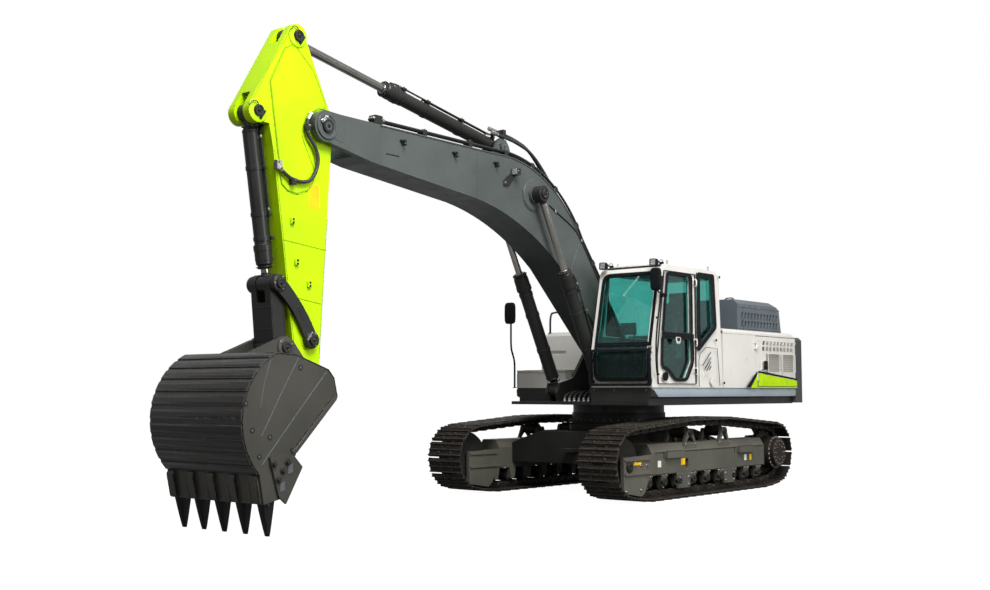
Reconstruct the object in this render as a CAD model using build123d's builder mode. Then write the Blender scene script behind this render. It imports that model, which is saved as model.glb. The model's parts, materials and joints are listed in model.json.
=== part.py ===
from build123d import *
import math
import os

os.makedirs("parts", exist_ok=True)

# Crawler excavator of the 33 tonne class. All lengths are in millimetres.
# +X points forwards along the boom, +Y to the cab side (left), +Z up.
# The origin is on the swing axis at ground level.

# ---------------------------------------------------------------- clearances
RUNNING_GAP = 0.3          # curved faces and faces that turn on each other
PLATE_GAP = 8.0            # between plates that swing past each other
PANEL_GAP = 6.0            # around doors and lids
PIN_GAP = 0.3              # round each hinge pin

# ---------------------------------------------------------------- side view points (x, z)
BOOM_FOOT_PIN = (200, 1950)
BOOM_TIP_PIN = (6160, 4370)
BOOM_CYLINDER_FOOT = (1030, 1460)
BOOM_CYLINDER_EYE = (2420, 4070)
ARM_CYLINDER_FOOT = (2890, 4665)
ARM_CYLINDER_EYE = (6520, 5325)
BUCKET_CYLINDER_FOOT = (7060, 4400)
ROCKER_PIN = (6300, 1995)
LINK_PIN = (6770, 2584)
BUCKET_LINK_PIN = (6700, 1903)
BUCKET_PIN = (6330, 1500)

# ---------------------------------------------------------------- undercarriage
GAUGE_HALF = 1295
SHOE_WIDTH = 600
SHOE_COUNT = 50
LUG_TIP = 80               # lug tip above the chain's pitch line
SHOE_TOP = 54              # outer face of the shoe plate
SHOE_SEAT = 40             # inner face of the shoe plate
LINK_HALF = 48             # half height of a chain link
LINK_RAIL_OFFSET = 90      # middle of each rail from the track's middle
LINK_RAIL_WIDTH = 44
WHEEL_X = 2020             # idler and sprocket from the swing axis
WHEEL_Z = 510
WHEEL_PITCH_RADIUS = 385
END_ROLLER_X = 1640
ROLLER_PITCH_RADIUS = 190
CARRIER_PITCH_RADIUS = 150
CARRIER_X = (430, -530)
CARRIER_TOP = 1000
FRAME_FRONT = 1460
FRAME_REAR = -1730
FRAME_TOP = 740
FRAME_SHOULDER = 625       # top of the upright side faces, below the sloped shoulders
FRAME_BOTTOM = 330
FRAME_HALF_WIDTH = 190
FRAME_TOP_HALF_WIDTH = 120
GUIDE_THICKNESS = 40
IDLER_HUB = 95
STEP_X = (930, -1085)      # middle of each step on the track frame
GUARD_X = (650, -630)      # middle of each chain guard below the frame
BOTTOM_ROLLERS = 9
ROLLER_RADIUS = 92
ROLLER_AXLE = 38
HUB_RADIUS = 230
DRIVE_RADIUS = 210
RING_BOTTOM = 960
RING_TOP = 1130
RING_RADIUS = 690
RING_BORE = 540

# ---------------------------------------------------------------- upper structure
DECK_BOTTOM = 1250
DECK_TOP = 1490
UPPER_HALF_WIDTH = 1490
BRACKET_INNER = 272        # inner face of each boom bracket plate
BRACKET_THICKNESS = 52
CAB_INNER = 515
CAB_WALL = 60
CAB_ROOF = 3165
CAB_FLOOR = DECK_TOP
CAB_CORNER = 75            # windscreen and rear window end this far inside the side walls
WINDOW_HEAD = CAB_ROOF - 115
WINDOW_SILL = 2200
GLASS_THICKNESS = 8
GUARD_TOP = 2010
GUARD_BAR = 34
LAMP_SIZE = 96
MIRROR_TUBE = 14
SKIRT_EDGE = 1365          # lower edge of the bright skirt along the left side
HOOD_TOP = 2320
PANEL_TOP = 2300
TAIL_X = -3440
HOUSE_FRONT = -495
HOUSE_REAR = -2850
LID_THICKNESS = 40
HOOD_BOX = (-2765, -1300)   # raised box of the hood, along the machine
HOOD_BOX_Y = (200, 1300)
HOOD_BOX_TOP = 2840
HOOD_WALL = 40
ENGINE_TOP = 2150
LIFTING_LUG_Y = 700
LIFTING_LUG_HEIGHT = 130
LIFTING_HOLE = 32
LUG_THICKNESS = 50
TOW_HOLE = 35
TOW_HOLE_X = 1245
TOW_LUG_Z = 612
HINGE_PIN = 9
KNUCKLE_RADIUS = 17
KNUCKLE_LENGTH = 70

# ---------------------------------------------------------------- front equipment
BOOM_HALF_WIDTH = 260
BOOM_WEB_INSET = 10        # the side plates lie this far inside the flange edges
BOOM_FORK_HALF_GAP = 173
PIPE_RADIUS = 17
PIPE_RISE = 50             # pipes above the boom's back
HOSE_RADIUS = 21
ARM_HALF_WIDTH = 160
ARM_DOUBLER = 8            # raised plate round the arm's head
ARM_CLAMPS = ((6565, 3275), (6497, 2834), (6314, 2605))    # side view (x, z)
EYE_HALF_WIDTH = 62
PIN_RADIUS = 50
BOOM_CYLINDER_Y = 388
BUCKET_HALF_WIDTH = 748
TOOTH_COUNT = 5
TOOTH_WIDTH = 112
WEAR_STRIPS = 10
EAR_INNER = 173
EAR_THICKNESS = 62
BUCKET_WALL = 26


def write(piece, name):
    """Label a finished piece and write it to its own file."""
    piece.part.label = name
    export_step(piece.part, f"parts/{name}.step")


def side(y):
    """Plane of the side view at a given y: local axes along X and Z, facing the right-hand side."""
    return Plane(origin=(0, y, 0), x_dir=(1, 0, 0), z_dir=(0, -1, 0))


def disc(point, radius, y_low, y_high, mode=Mode.ADD):
    """Round boss, pin or hole across the machine between two y values."""
    with BuildSketch(side(y_high)) as profile:
        with Locations(point):
            Circle(radius)
    extrude(profile.sketch, amount=y_high - y_low, mode=mode)


def plate(outline, y_low, y_high, mode=Mode.ADD):
    """Flat plate with a polygonal side view between two y values."""
    with BuildSketch(side(y_high)) as profile:
        with BuildLine():
            Polyline(*outline, close=True)
        make_face()
    extrude(profile.sketch, amount=y_high - y_low, mode=mode)


def block(x, y, z, mode=Mode.ADD):
    """Box given by its low and high limit along each axis."""
    with Locations(((x[0] + x[1]) / 2, (y[0] + y[1]) / 2, (z[0] + z[1]) / 2)):
        Box(x[1] - x[0], y[1] - y[0], z[1] - z[0], mode=mode)


def along(start, end, distance, offset=0):
    """Point at a distance from start towards end, moved sideways by offset, in the side view."""
    length = math.dist(start, end)
    ux, uz = (end[0] - start[0]) / length, (end[1] - start[1]) / length
    return (start[0] + ux * distance - uz * offset, start[1] + uz * distance + ux * offset)


def upright_pin(x, y, radius, z_low, z_high, mode=Mode.ADD):
    """Vertical pin or hole between two heights."""
    with BuildSketch(Plane.XY.offset(z_low)) as profile:
        with Locations((x, y)):
            Circle(radius)
    extrude(profile.sketch, amount=z_high - z_low, mode=mode)


def hinge_pins(axis, wall_x, wall_y, heights):
    """Fixed half of a row of door hinges: a pin at each height, held from a tab above it and one below."""
    x, y = axis
    for z in heights:
        half = KNUCKLE_LENGTH / 2 + RUNNING_GAP
        upright_pin(x, y, HINGE_PIN, z - half - 20, z + half + 20)
        for low in (z - half - 20, z + half):
            reach = math.copysign(KNUCKLE_RADIUS - 3, wall_x - x)
            block(sorted((x, wall_x)), sorted((wall_y, y + math.copysign(12, y))), (low, low + 20))
            block(sorted((x - reach, x)), (y - 12, y + 12), (low, low + 20))


def hinge_knuckles(axis, leaf_x, leaf_y, heights):
    """Moving half of the hinges: a knuckle round each pin with a tab on the door's outer face."""
    x, y = axis
    for z in heights:
        low, high = z - KNUCKLE_LENGTH / 2, z + KNUCKLE_LENGTH / 2
        upright_pin(x, y, KNUCKLE_RADIUS, low, high)
        block(sorted((x, leaf_x)), sorted((leaf_y, y + math.copysign(6, y))), (low, high))
        upright_pin(x, y, HINGE_PIN + PIN_GAP, low - 1, high + 1, Mode.SUBTRACT)


def tube(points, bend, radius):
    """Eight-sided tube along straight runs that arcs of radius bend join."""
    start, following = Vector(*points[0]), Vector(*points[1])
    with BuildLine() as route:
        FilletPolyline(*points, radius=bend)
    with BuildSketch(Plane(origin=start, z_dir=following - start)) as section:
        RegularPolygon(radius, 8)
    sweep(section.sketch, path=route.wire())


def slats(x, y, z, pitch, height):
    """Row of level bars that fill a panel's opening."""
    count = int((z[1] - z[0]) / pitch)
    for i in range(count):
        low = z[0] + (i + 0.5) * (z[1] - z[0]) / count - height / 2
        block(x, y, (low, low + height))


# hinge axes seen from above (x, y)
CAB_DOOR_HINGE = (300, UPPER_HALF_WIDTH + 22)
REAR_DOOR_HINGE = (-1494, UPPER_HALF_WIDTH + 22)
PUMP_DOOR_HINGE = (-1299, -UPPER_HALF_WIDTH - 12)
HOOD_HINGE = (-2790, HOOD_TOP + 10)        # side view (x, z)
TOOL_BOX_HINGE = (-5, 1784)
CAB_DOOR_HINGE_HEIGHTS = (1720, 2120, CAB_ROOF - 205)
HOUSE_DOOR_HINGE_HEIGHTS = (1650, 2130)


# ================================================================ undercarriage

def chain_pins():
    """Places of the chain's pins, evenly spaced round the taut loop over all its wheels."""
    wheels = [
        # x, z, pitch radius
        (WHEEL_X, WHEEL_Z, WHEEL_PITCH_RADIUS),
        (-WHEEL_X, WHEEL_Z, WHEEL_PITCH_RADIUS),
        (END_ROLLER_X, LUG_TIP + ROLLER_PITCH_RADIUS, ROLLER_PITCH_RADIUS),
        (-END_ROLLER_X, LUG_TIP + ROLLER_PITCH_RADIUS, ROLLER_PITCH_RADIUS),
        (CARRIER_X[0], CARRIER_TOP - CARRIER_PITCH_RADIUS, CARRIER_PITCH_RADIUS),
        (CARRIER_X[1], CARRIER_TOP - CARRIER_PITCH_RADIUS, CARRIER_PITCH_RADIUS),
    ]
    circles = [Edge.make_circle(r, Plane(origin=(x, z, 0))) for x, z, r in wheels]
    loop = Wire.make_convex_hull(circles)
    pins = [loop.position_at(i / SHOE_COUNT) for i in range(SHOE_COUNT)]
    pins = [(p.X, p.Y) for p in pins]
    turning = sum(a[0] * b[1] - b[0] * a[1] for a, b in zip(pins, pins[1:] + pins[:1]))
    return pins if turning < 0 else pins[::-1]


PINS = chain_pins()


def links():
    """Pairs of neighbouring pins, one pair per link, clockwise seen with +X to the right."""
    return list(zip(PINS, PINS[1:] + PINS[:1]))


def shoe_outline():
    """Outer outline of all shoes: three lugs on each plate."""
    points = []
    for start, end in links():
        pitch = math.dist(start, end)
        points.append(along(start, end, 3, SHOE_TOP))
        for share, height in ((0.10, LUG_TIP), (0.48, LUG_TIP - 3), (0.86, LUG_TIP)):
            foot = share * pitch
            points.append(along(start, end, foot - 9, SHOE_TOP))
            points.append(along(start, end, foot, height))
            points.append(along(start, end, foot + 15, SHOE_TOP))
        points.append(along(start, end, pitch - 3, SHOE_TOP))
    return points


def ring_outline(offset):
    """Loop of corners at the pins, moved out from the pitch line by offset."""
    points = []
    pairs = links()
    for (before, pin), (_, after) in zip(pairs, pairs[1:] + pairs[:1]):
        a = along(pin, after, 0, offset)
        b = along(pin, before, 0, -offset)
        points.append(((a[0] + b[0]) / 2, (a[1] + b[1]) / 2))
    return points


def track(name, y):
    """One track: shoes with their lugs on two rails of chain links, fixed as one loop."""
    with BuildPart() as loop:
        plate(shoe_outline(), y - SHOE_WIDTH / 2, y + SHOE_WIDTH / 2)
        plate(ring_outline(SHOE_SEAT), y - SHOE_WIDTH / 2, y + SHOE_WIDTH / 2, Mode.SUBTRACT)
        for rail in (-LINK_RAIL_OFFSET, LINK_RAIL_OFFSET):
            low, high = y + rail - LINK_RAIL_WIDTH / 2, y + rail + LINK_RAIL_WIDTH / 2
            with BuildSketch(side(high)):
                with BuildLine():
                    Polyline(*ring_outline(SHOE_SEAT + 4), close=True)
                make_face()
                with BuildLine():
                    Polyline(*ring_outline(-LINK_HALF), close=True)
                make_face(mode=Mode.SUBTRACT)
            extrude(amount=high - low)
    write(loop, name)


def tread_radius(centre):
    """Largest radius about a wheel's centre that stays inside the chain's rails."""
    radii = []
    for start, end in links():
        a, b = along(start, end, 0, -LINK_HALF), along(end, start, 0, LINK_HALF)
        length = math.dist(a, b)
        reach = ((centre[0] - a[0]) * (b[0] - a[0]) + (centre[1] - a[1]) * (b[1] - a[1])) / length
        if 0 <= reach <= length:
            across = (centre[0] - a[0]) * (b[1] - a[1]) - (centre[1] - a[1]) * (b[0] - a[0])
            radii.append(abs(across) / length)
    return min(radii) - RUNNING_GAP


def wheel_width():
    """Half width over both rails of the chain."""
    return LINK_RAIL_OFFSET + LINK_RAIL_WIDTH / 2


def idler(name, y):
    """Front wheel: a tread on each rail, a guide rib between them and a wide hub."""
    centre = (WHEEL_X, WHEEL_Z)
    tread = tread_radius(centre)
    rib_half = LINK_RAIL_OFFSET - LINK_RAIL_WIDTH / 2 - 8
    with BuildPart() as wheel:
        disc(centre, tread, y - wheel_width(), y + wheel_width())
        disc(centre, tread + 30, y - rib_half, y + rib_half)
        disc(centre, IDLER_HUB, y - FRAME_HALF_WIDTH + 20, y + FRAME_HALF_WIDTH - 20)
    write(wheel, name)


def sprocket(name, y, outward):
    """Toothed drive wheel between the rails, with the final drive's drum towards the outside."""
    centre = (-WHEEL_X, WHEEL_Z)
    teeth = 21
    root = tread_radius(centre) - 10
    with BuildPart() as wheel:
        with BuildSketch(side(y + 35)):
            with Locations(centre):
                RegularPolygon(root, teeth, major_radius=False)
            with Locations(centre):
                with PolarLocations(root - 4, teeth):
                    Rectangle(52, 46)
        extrude(amount=70)
        near, far = sorted((y, y + outward * (SHOE_WIDTH / 2 - 60)))
        disc(centre, DRIVE_RADIUS + 35, near, far)
        near, far = sorted((y, y + outward * (SHOE_WIDTH / 2 + 5)))
        disc(centre, DRIVE_RADIUS, near, far)
        near, far = sorted((y, y - outward * (FRAME_HALF_WIDTH + 40)))
        disc(centre, HUB_RADIUS, near, far)
    write(wheel, name)


def bottom_rollers():
    """Centres of the rollers that carry the machine on the chain's lower run."""
    first = END_ROLLER_X - 110
    step = 2 * first / (BOTTOM_ROLLERS - 1)
    return [(first - i * step, LUG_TIP + LINK_HALF + ROLLER_RADIUS + RUNNING_GAP) for i in range(BOTTOM_ROLLERS)]


def carrier_rollers():
    """Centres of the rollers that hold up the chain's upper run."""
    return [(x, CARRIER_TOP - LINK_HALF - 80) for x in CARRIER_X]


def roller_end():
    """Distance from the chain's middle to the end faces of the rollers."""
    return wheel_width() + 12


def rollers(name, y):
    """Bottom rollers and carrier rollers that the chain's rails run on."""
    with BuildPart() as set_of_rollers:
        for centre in bottom_rollers():
            disc(centre, min(ROLLER_RADIUS, tread_radius(centre)), y - roller_end(), y + roller_end())
        for centre in carrier_rollers():
            disc(centre, tread_radius(centre), y - wheel_width(), y + wheel_width())
            disc(centre, ROLLER_AXLE, y - roller_end(), y + roller_end())
    write(set_of_rollers, name)


def track_frame(name, y, outward):
    """Long box beam with sloped shoulders, its idler guides, collars, guards, steps and carrier brackets."""
    with BuildPart() as frame:
        with BuildSketch(Plane(origin=(FRAME_REAR, y, 0), x_dir=(0, 1, 0), z_dir=(1, 0, 0))):
            with BuildLine():
                Polyline((-FRAME_HALF_WIDTH, FRAME_BOTTOM), (FRAME_HALF_WIDTH, FRAME_BOTTOM),
                         (FRAME_HALF_WIDTH, FRAME_SHOULDER), (FRAME_TOP_HALF_WIDTH, FRAME_TOP),
                         (-FRAME_TOP_HALF_WIDTH, FRAME_TOP), (-FRAME_HALF_WIDTH, FRAME_SHOULDER), close=True)
            make_face()
        extrude(amount=FRAME_FRONT - FRAME_REAR)
        for sign in (-1, 1):
            face = y + sign * FRAME_HALF_WIDTH
            # idler guide with its two ribs
            low, high = sorted((face - sign * GUIDE_THICKNESS, face + sign * 12))
            plate([(FRAME_FRONT - 60, FRAME_SHOULDER - 20), (2145, 590), (2145, 140), (1720, 76), (1640, 130),
                   (1520, FRAME_BOTTOM + 20), (FRAME_FRONT - 60, FRAME_BOTTOM + 20)], low, high)
            low, high = sorted((face, face + sign * 32))
            block((1540, 2130), (low, high), (360, 390))
            block((1540, 2130), (low, high), (542, 572))
            # collars that carry the bottom rollers' ends
            low, high = sorted((y + sign * (roller_end() + RUNNING_GAP), face))
            for x, z in bottom_rollers():
                plate([(x - 75, FRAME_BOTTOM + 5), (x - 42, z - 48), (x + 42, z - 48), (x + 75, FRAME_BOTTOM + 5)],
                      low, high)
            # brackets that carry the carrier rollers' axles
            low, high = sorted((y + sign * (roller_end() + RUNNING_GAP), y + sign * (roller_end() + 50)))
            for x, z in carrier_rollers():
                plate([(x - 185, FRAME_TOP - 90), (x - 62, z + 34), (x + 62, z + 34), (x + 185, FRAME_TOP - 90)],
                      low, high)
                plate([(x - 105, FRAME_TOP), (x - 40, z - 62), (x + 40, z - 62), (x + 105, FRAME_TOP)],
                      low - 1, high + 1, Mode.SUBTRACT)
        outer = y + outward * FRAME_HALF_WIDTH
        low, high = sorted((outer - outward * 30, outer + outward * 8))
        for x in GUARD_X:
            plate([(x - 190, FRAME_BOTTOM + 10), (x - 150, 128), (x + 150, 128), (x + 190, FRAME_BOTTOM + 10)],
                  low, high)
        low, high = sorted((outer - outward * 60, outer + outward * 55))
        for x in STEP_X:
            block((x - 210, x + 210), (low, high), (FRAME_SHOULDER - 80, FRAME_SHOULDER + 8))
        # oval hole in the side face, over the chain tensioner
        low, high = sorted((outer - outward * 60, outer + outward))
        with BuildSketch(side(high)):
            with Locations((560, 450)):
                SlotOverall(150, 90, rotation=90)
        extrude(amount=high - low, mode=Mode.SUBTRACT)
        # mounting plate of the final drive on the inner side
        inner = y - outward * FRAME_HALF_WIDTH
        low, high = sorted((inner + outward * GUIDE_THICKNESS, inner))
        plate([(FRAME_REAR + 40, FRAME_BOTTOM + 20), (-1860, 250), (-2160, 250), (-2290, 400), (-2290, 620),
               (-2160, 760), (-1860, 760), (FRAME_REAR + 40, FRAME_SHOULDER)], low, high)
        disc((-WHEEL_X, WHEEL_Z), HUB_RADIUS + RUNNING_GAP, low - 1, high + 1, Mode.SUBTRACT)
        # room for the sprocket's teeth in the beam's rear end
        disc((-WHEEL_X, WHEEL_Z), tread_radius((-WHEEL_X, WHEEL_Z)) + 35, y - 50, y + 50, Mode.SUBTRACT)
        disc((WHEEL_X, WHEEL_Z), IDLER_HUB + RUNNING_GAP, y - FRAME_HALF_WIDTH + 20 - RUNNING_GAP,
             y + FRAME_HALF_WIDTH - 20 + RUNNING_GAP, Mode.SUBTRACT)
    write(frame, name)


def car_body():
    """Middle of the undercarriage: a box with four sloped legs to the track frames."""
    inner_face = GAUGE_HALF - FRAME_HALF_WIDTH
    top = RING_BOTTOM - 90
    with BuildPart() as body:
        block((-820, 820), (-820, 820), (500, top))
        with BuildSketch(Plane.XY.offset(top)):
            Circle(RING_RADIUS + 40)
        extrude(amount=90)
        for x in (-900, 900):
            with BuildSketch(Plane(origin=(x - 260, 0, 0), x_dir=(0, 1, 0), z_dir=(1, 0, 0))):
                with BuildLine():
                    Polyline((-inner_face, 420), (inner_face, 420), (inner_face, 690), (600, top), (-600, top),
                             (-inner_face, 690), close=True)
                make_face()
            extrude(amount=520)
        block((-560, 560), (-1500, 1500), (300, 480), Mode.SUBTRACT)
        # level tow lugs at both ends, with an upright hole
        for end in (-1, 1):
            low, high = sorted((end * 1120, end * 1320))
            block((low, high), (-90, 90), (TOW_LUG_Z - LUG_THICKNESS / 2, TOW_LUG_Z + LUG_THICKNESS / 2))
            upright_pin(end * TOW_HOLE_X, 0, TOW_HOLE, TOW_LUG_Z - LUG_THICKNESS, TOW_LUG_Z + LUG_THICKNESS,
                        Mode.SUBTRACT)
    write(body, "car_body")


def swing_bearing():
    """Bolted slewing ring on the car body; the upper structure turns on it."""
    with BuildPart() as ring:
        with BuildSketch(Plane.XY.offset(RING_BOTTOM)):
            Circle(RING_RADIUS)
            Circle(RING_BORE, mode=Mode.SUBTRACT)
        extrude(amount=RING_TOP - RING_BOTTOM)
    write(ring, "swing_bearing")


# ================================================================ upper structure

def upper_frame():
    """Turning deck: ring flange, floor, the two long boom bracket plates and the cylinder ears."""
    with BuildPart() as frame:
        with BuildSketch(Plane.XY.offset(RING_TOP + RUNNING_GAP)):
            Circle(RING_RADIUS - 15)
            Circle(RING_BORE, mode=Mode.SUBTRACT)
        extrude(amount=DECK_BOTTOM - RING_TOP)
        block((-2850, 1180), (-1100, 1100), (DECK_BOTTOM, DECK_BOTTOM + 45))
        # boxed platforms along both sides, with the bevelled skirt on their outer faces
        for sign, front in ((1, 1450), (-1, 570)):
            with BuildSketch(Plane(origin=(HOUSE_REAR, 0, 0), x_dir=(0, 1, 0), z_dir=(1, 0, 0))):
                with BuildLine():
                    Polyline(*[(sign * y, z) for y, z in (
                        (CAB_INNER, DECK_BOTTOM), (UPPER_HALF_WIDTH - 60, DECK_BOTTOM),
                        (UPPER_HALF_WIDTH - 60, SKIRT_EDGE - 20), (UPPER_HALF_WIDTH - 10, SKIRT_EDGE),
                        (UPPER_HALF_WIDTH, SKIRT_EDGE + 85), (UPPER_HALF_WIDTH - 18, DECK_TOP - 8),
                        (UPPER_HALF_WIDTH - 18, DECK_TOP), (CAB_INNER, DECK_TOP))], close=True)
                make_face()
            extrude(amount=front - HOUSE_REAR)
        outer = BRACKET_INNER + BRACKET_THICKNESS
        ear = BOOM_CYLINDER_Y + EYE_HALF_WIDTH + PLATE_GAP
        for sign in (-1, 1):
            low, high = sorted((sign * BRACKET_INNER, sign * outer))
            plate([(-2850, DECK_BOTTOM + 20), (1120, DECK_BOTTOM + 20), (1160, 1420), (1110, 1560), (760, 1640),
                   (460, 2010), (330, 2130), (200, 2180), (60, 2130), (-60, 1990), (-460, DECK_TOP),
                   (-2850, DECK_TOP)], low, high)
            low, high = sorted((sign * ear, sign * (ear + 35)))
            plate([(820, DECK_BOTTOM + 20), (1120, DECK_BOTTOM + 20), (1160, 1420), (1110, 1560), (950, 1560),
                   (820, 1500)], low, high)
            # the cylinder's foot pin between its two ears
            low, high = sorted((sign * outer, sign * (ear + 47)))
            disc(BOOM_CYLINDER_FOOT, PIN_RADIUS, low, high)
        # the boom's foot pin through both plates, with its caps
        disc(BOOM_FOOT_PIN, PIN_RADIUS + 10, -outer - 40, outer + 40)
    write(frame, "upper_frame")


def counterweight():
    """Cast counterweight with the curved tail and bevelled upper edge."""
    with BuildPart() as weight:
        with BuildSketch(Plane.XY.offset(DECK_BOTTOM + 10)):
            with BuildLine():
                tail = ThreePointArc((-3110, UPPER_HALF_WIDTH), (TAIL_X, 0), (-3110, -UPPER_HALF_WIDTH))
                Polyline(tail @ 1, (HOUSE_REAR, -UPPER_HALF_WIDTH), (HOUSE_REAR, UPPER_HALF_WIDTH), tail @ 0)
            make_face()
        extrude(amount=PANEL_TOP - DECK_BOTTOM - 10)
        fillet(weight.edges().filter_by(Axis.Z).sort_by(Axis.X)[0:2], radius=60)
        chamfer(weight.edges().group_by(Axis.Z)[-1].sort_by(Axis.X)[:3], length=45)
        # lifting lugs on top
        for y in (-LIFTING_LUG_Y, LIFTING_LUG_Y):
            top = PANEL_TOP + LIFTING_LUG_HEIGHT
            plate([(-3190, PANEL_TOP - 5), (-3190, top - 40), (-3150, top), (-3050, top), (-3010, top - 40),
                   (-3010, PANEL_TOP - 5)], y - LUG_THICKNESS / 2, y + LUG_THICKNESS / 2)
            disc((-3100, top - 60), LIFTING_HOLE, y - LUG_THICKNESS, y + LUG_THICKNESS, Mode.SUBTRACT)
    write(weight, "counterweight")


def cab_profile(inset):
    """Side view of the cab, moved inwards by inset."""
    return [(1440 - inset, CAB_FLOOR + inset), (1465 - inset, 1900), (1205 - inset, CAB_ROOF - 90),
            (1120 - inset, CAB_ROOF - inset), (-310 + inset, CAB_ROOF - inset), (-385 + inset, CAB_ROOF - 80),
            (-480 + inset, CAB_FLOOR + inset)]


DOOR_OUTLINE = [(CAB_DOOR_HINGE[0] + 5, CAB_FLOOR + 50), (1310, CAB_FLOOR + 50), (1330, 1900),
                (1130, CAB_ROOF - 85), (CAB_DOOR_HINGE[0] + 5, CAB_ROOF - 85)]
DOOR_UPPER_PANE = [(440, WINDOW_SILL + 25), (1195, WINDOW_SILL + 25), (1060, WINDOW_HEAD), (440, WINDOW_HEAD)]
DOOR_LOWER_PANE = [(420, WINDOW_SILL - 25), (1205, WINDOW_SILL - 25), (1225, 1775), (1060, 1740), (880, 1600),
                   (590, 1600), (410, 1850)]
REAR_PANE = [(255, WINDOW_HEAD + 50), (-190, WINDOW_HEAD + 50), (-245, 2350), (255, 2010)]
FAR_PANE = [(-250, WINDOW_SILL), (1180, WINDOW_SILL), (1060, WINDOW_HEAD), (-250, WINDOW_HEAD)]


def pane(outline, y_low, y_high, mode=Mode.ADD, gap=0.0, rounding=45):
    """Window pane or its opening, with rounded corners, smaller by gap all round."""
    with BuildSketch(side(y_high)) as profile:
        with BuildLine():
            Polyline(*outline, close=True)
        make_face()
        fillet(profile.vertices(), radius=rounding)
        if gap:
            offset(amount=-gap, kind=Kind.INTERSECTION, mode=Mode.REPLACE)
    extrude(profile.sketch, amount=y_high - y_low, mode=mode)


def cab_shell():
    """Cab with its pillars and roof, open at the windows and the door."""
    outer, inner = UPPER_HALF_WIDTH, CAB_INNER
    with BuildPart() as shell:
        plate(cab_profile(0), inner, outer)
        roof = shell.edges().filter_by(Axis.Y).group_by(Axis.Z)[-1]
        fillet(roof, radius=50)
        plate(cab_profile(CAB_WALL), inner + CAB_WALL, outer - CAB_WALL, Mode.SUBTRACT)
        plate(DOOR_OUTLINE, outer - CAB_WALL - 5, outer + 5, Mode.SUBTRACT)
        pane(REAR_PANE, outer - CAB_WALL - 5, outer + 5, Mode.SUBTRACT, rounding=20)
        pane(FAR_PANE, inner - 5, inner + CAB_WALL + 5, Mode.SUBTRACT)
        # windscreen, in two heights, and rear window
        block((900, 1600), (inner + CAB_CORNER, outer - CAB_CORNER), (1600, WINDOW_HEAD - 10), Mode.SUBTRACT)
        block((-600, -200), (inner + CAB_CORNER, outer - CAB_CORNER), (WINDOW_SILL, WINDOW_HEAD), Mode.SUBTRACT)
        # raised skin of the roof
        block((-250, 1040), (inner + 60, outer - 60), (CAB_ROOF - 5, CAB_ROOF + 18))
        hinge_pins(CAB_DOOR_HINGE, CAB_DOOR_HINGE[0] - 45, outer, CAB_DOOR_HINGE_HEIGHTS)
    write(shell, "cab_shell")


def cab_glass():
    """Fixed panes of the cab: windscreen, sides and rear."""
    gap = RUNNING_GAP
    sill, head = 1600, WINDOW_HEAD - 10
    with BuildPart() as panes:
        low, high = CAB_INNER + CAB_CORNER + gap, UPPER_HALF_WIDTH - CAB_CORNER - gap
        plate([(1446 - 20, sill + gap), (1465 - 20, 1900), (1213 - 22, head - gap), (1213 - 34, head - gap),
               (1465 - 32, 1900), (1446 - 32, sill + gap)], low, high)
        pane(REAR_PANE, UPPER_HALF_WIDTH - 30, UPPER_HALF_WIDTH - 30 + GLASS_THICKNESS, gap=gap, rounding=20)
        pane(FAR_PANE, CAB_INNER + 22, CAB_INNER + 22 + GLASS_THICKNESS, gap=gap)
        plate([(-425, WINDOW_SILL + gap), (-415, WINDOW_SILL + gap), (-375, WINDOW_HEAD - gap),
               (-385, WINDOW_HEAD - gap)], low, high)
    write(panes, "cab_glass")


def cab_interior():
    """Operator's seat on its pedestal, with a console, an armrest and a lever each side, and the travel levers."""
    middle = (CAB_INNER + UPPER_HALF_WIDTH) / 2
    room = (UPPER_HALF_WIDTH - CAB_INNER) / 2 - CAB_WALL - 47.5        # from the middle to the consoles' outer faces
    floor = CAB_FLOOR + CAB_WALL
    top = CAB_ROOF - 305
    with BuildPart() as seat:
        block((-120, 560), (middle - room * 0.53, middle + room * 0.53), (floor, 1900))
        block((-60, 520), (middle - room * 0.66, middle + room * 0.66), (1900, 2040))
        fillet(seat.edges().filter_by(Axis.Y).group_by(Axis.Z)[-1].sort_by(Axis.X)[-1:], radius=50)
        plate([(-60, 2040), (90, 2040), (10, top - 300), (-20, top - 140), (-130, top - 140), (-120, top - 300)],
              middle - room * 0.63, middle + room * 0.63)
        plate([(-20, top - 140), (-30, top), (-120, top), (-130, top - 140)], middle - room * 0.34,
              middle + room * 0.34)
        for sign in (-1, 1):
            low, high = sorted((middle + sign * room * 0.74, middle + sign * room))
            block((100, 640), (low, high), (1900, 2150))
            low, high = sorted((middle + sign * room * 0.645, middle + sign * room * 0.75))
            block((180, 300), (low, high), (1920, 2000))
            upright_pin(590, middle + sign * room * 0.87, 16, 2140, 2300)
            upright_pin(590, middle + sign * room * 0.87, 30, 2290, 2370)
        # travel levers and their pedals
        block((900, 1060), (middle - room * 0.47, middle + room * 0.47), (floor, floor + 50))
        for sign in (-1, 1):
            upright_pin(980, middle + sign * 70, 14, floor + 40, 2080)
            low, high = sorted((middle + sign * 40, middle + sign * room * 0.4))
            block((900, 1150), (low, high), (floor + 60, floor + 85))
            block((960, 1000), (low, high), (floor + 45, floor + 65))
        # monitor on its post
        block((760, 820), (CAB_INNER + CAB_WALL + 15, CAB_INNER + CAB_WALL + 60), (floor, 2250))
        block((770, 810), (CAB_INNER + CAB_WALL + 10, CAB_INNER + CAB_WALL + 250), (2230, 2400))
    write(seat, "cab_interior")


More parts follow.
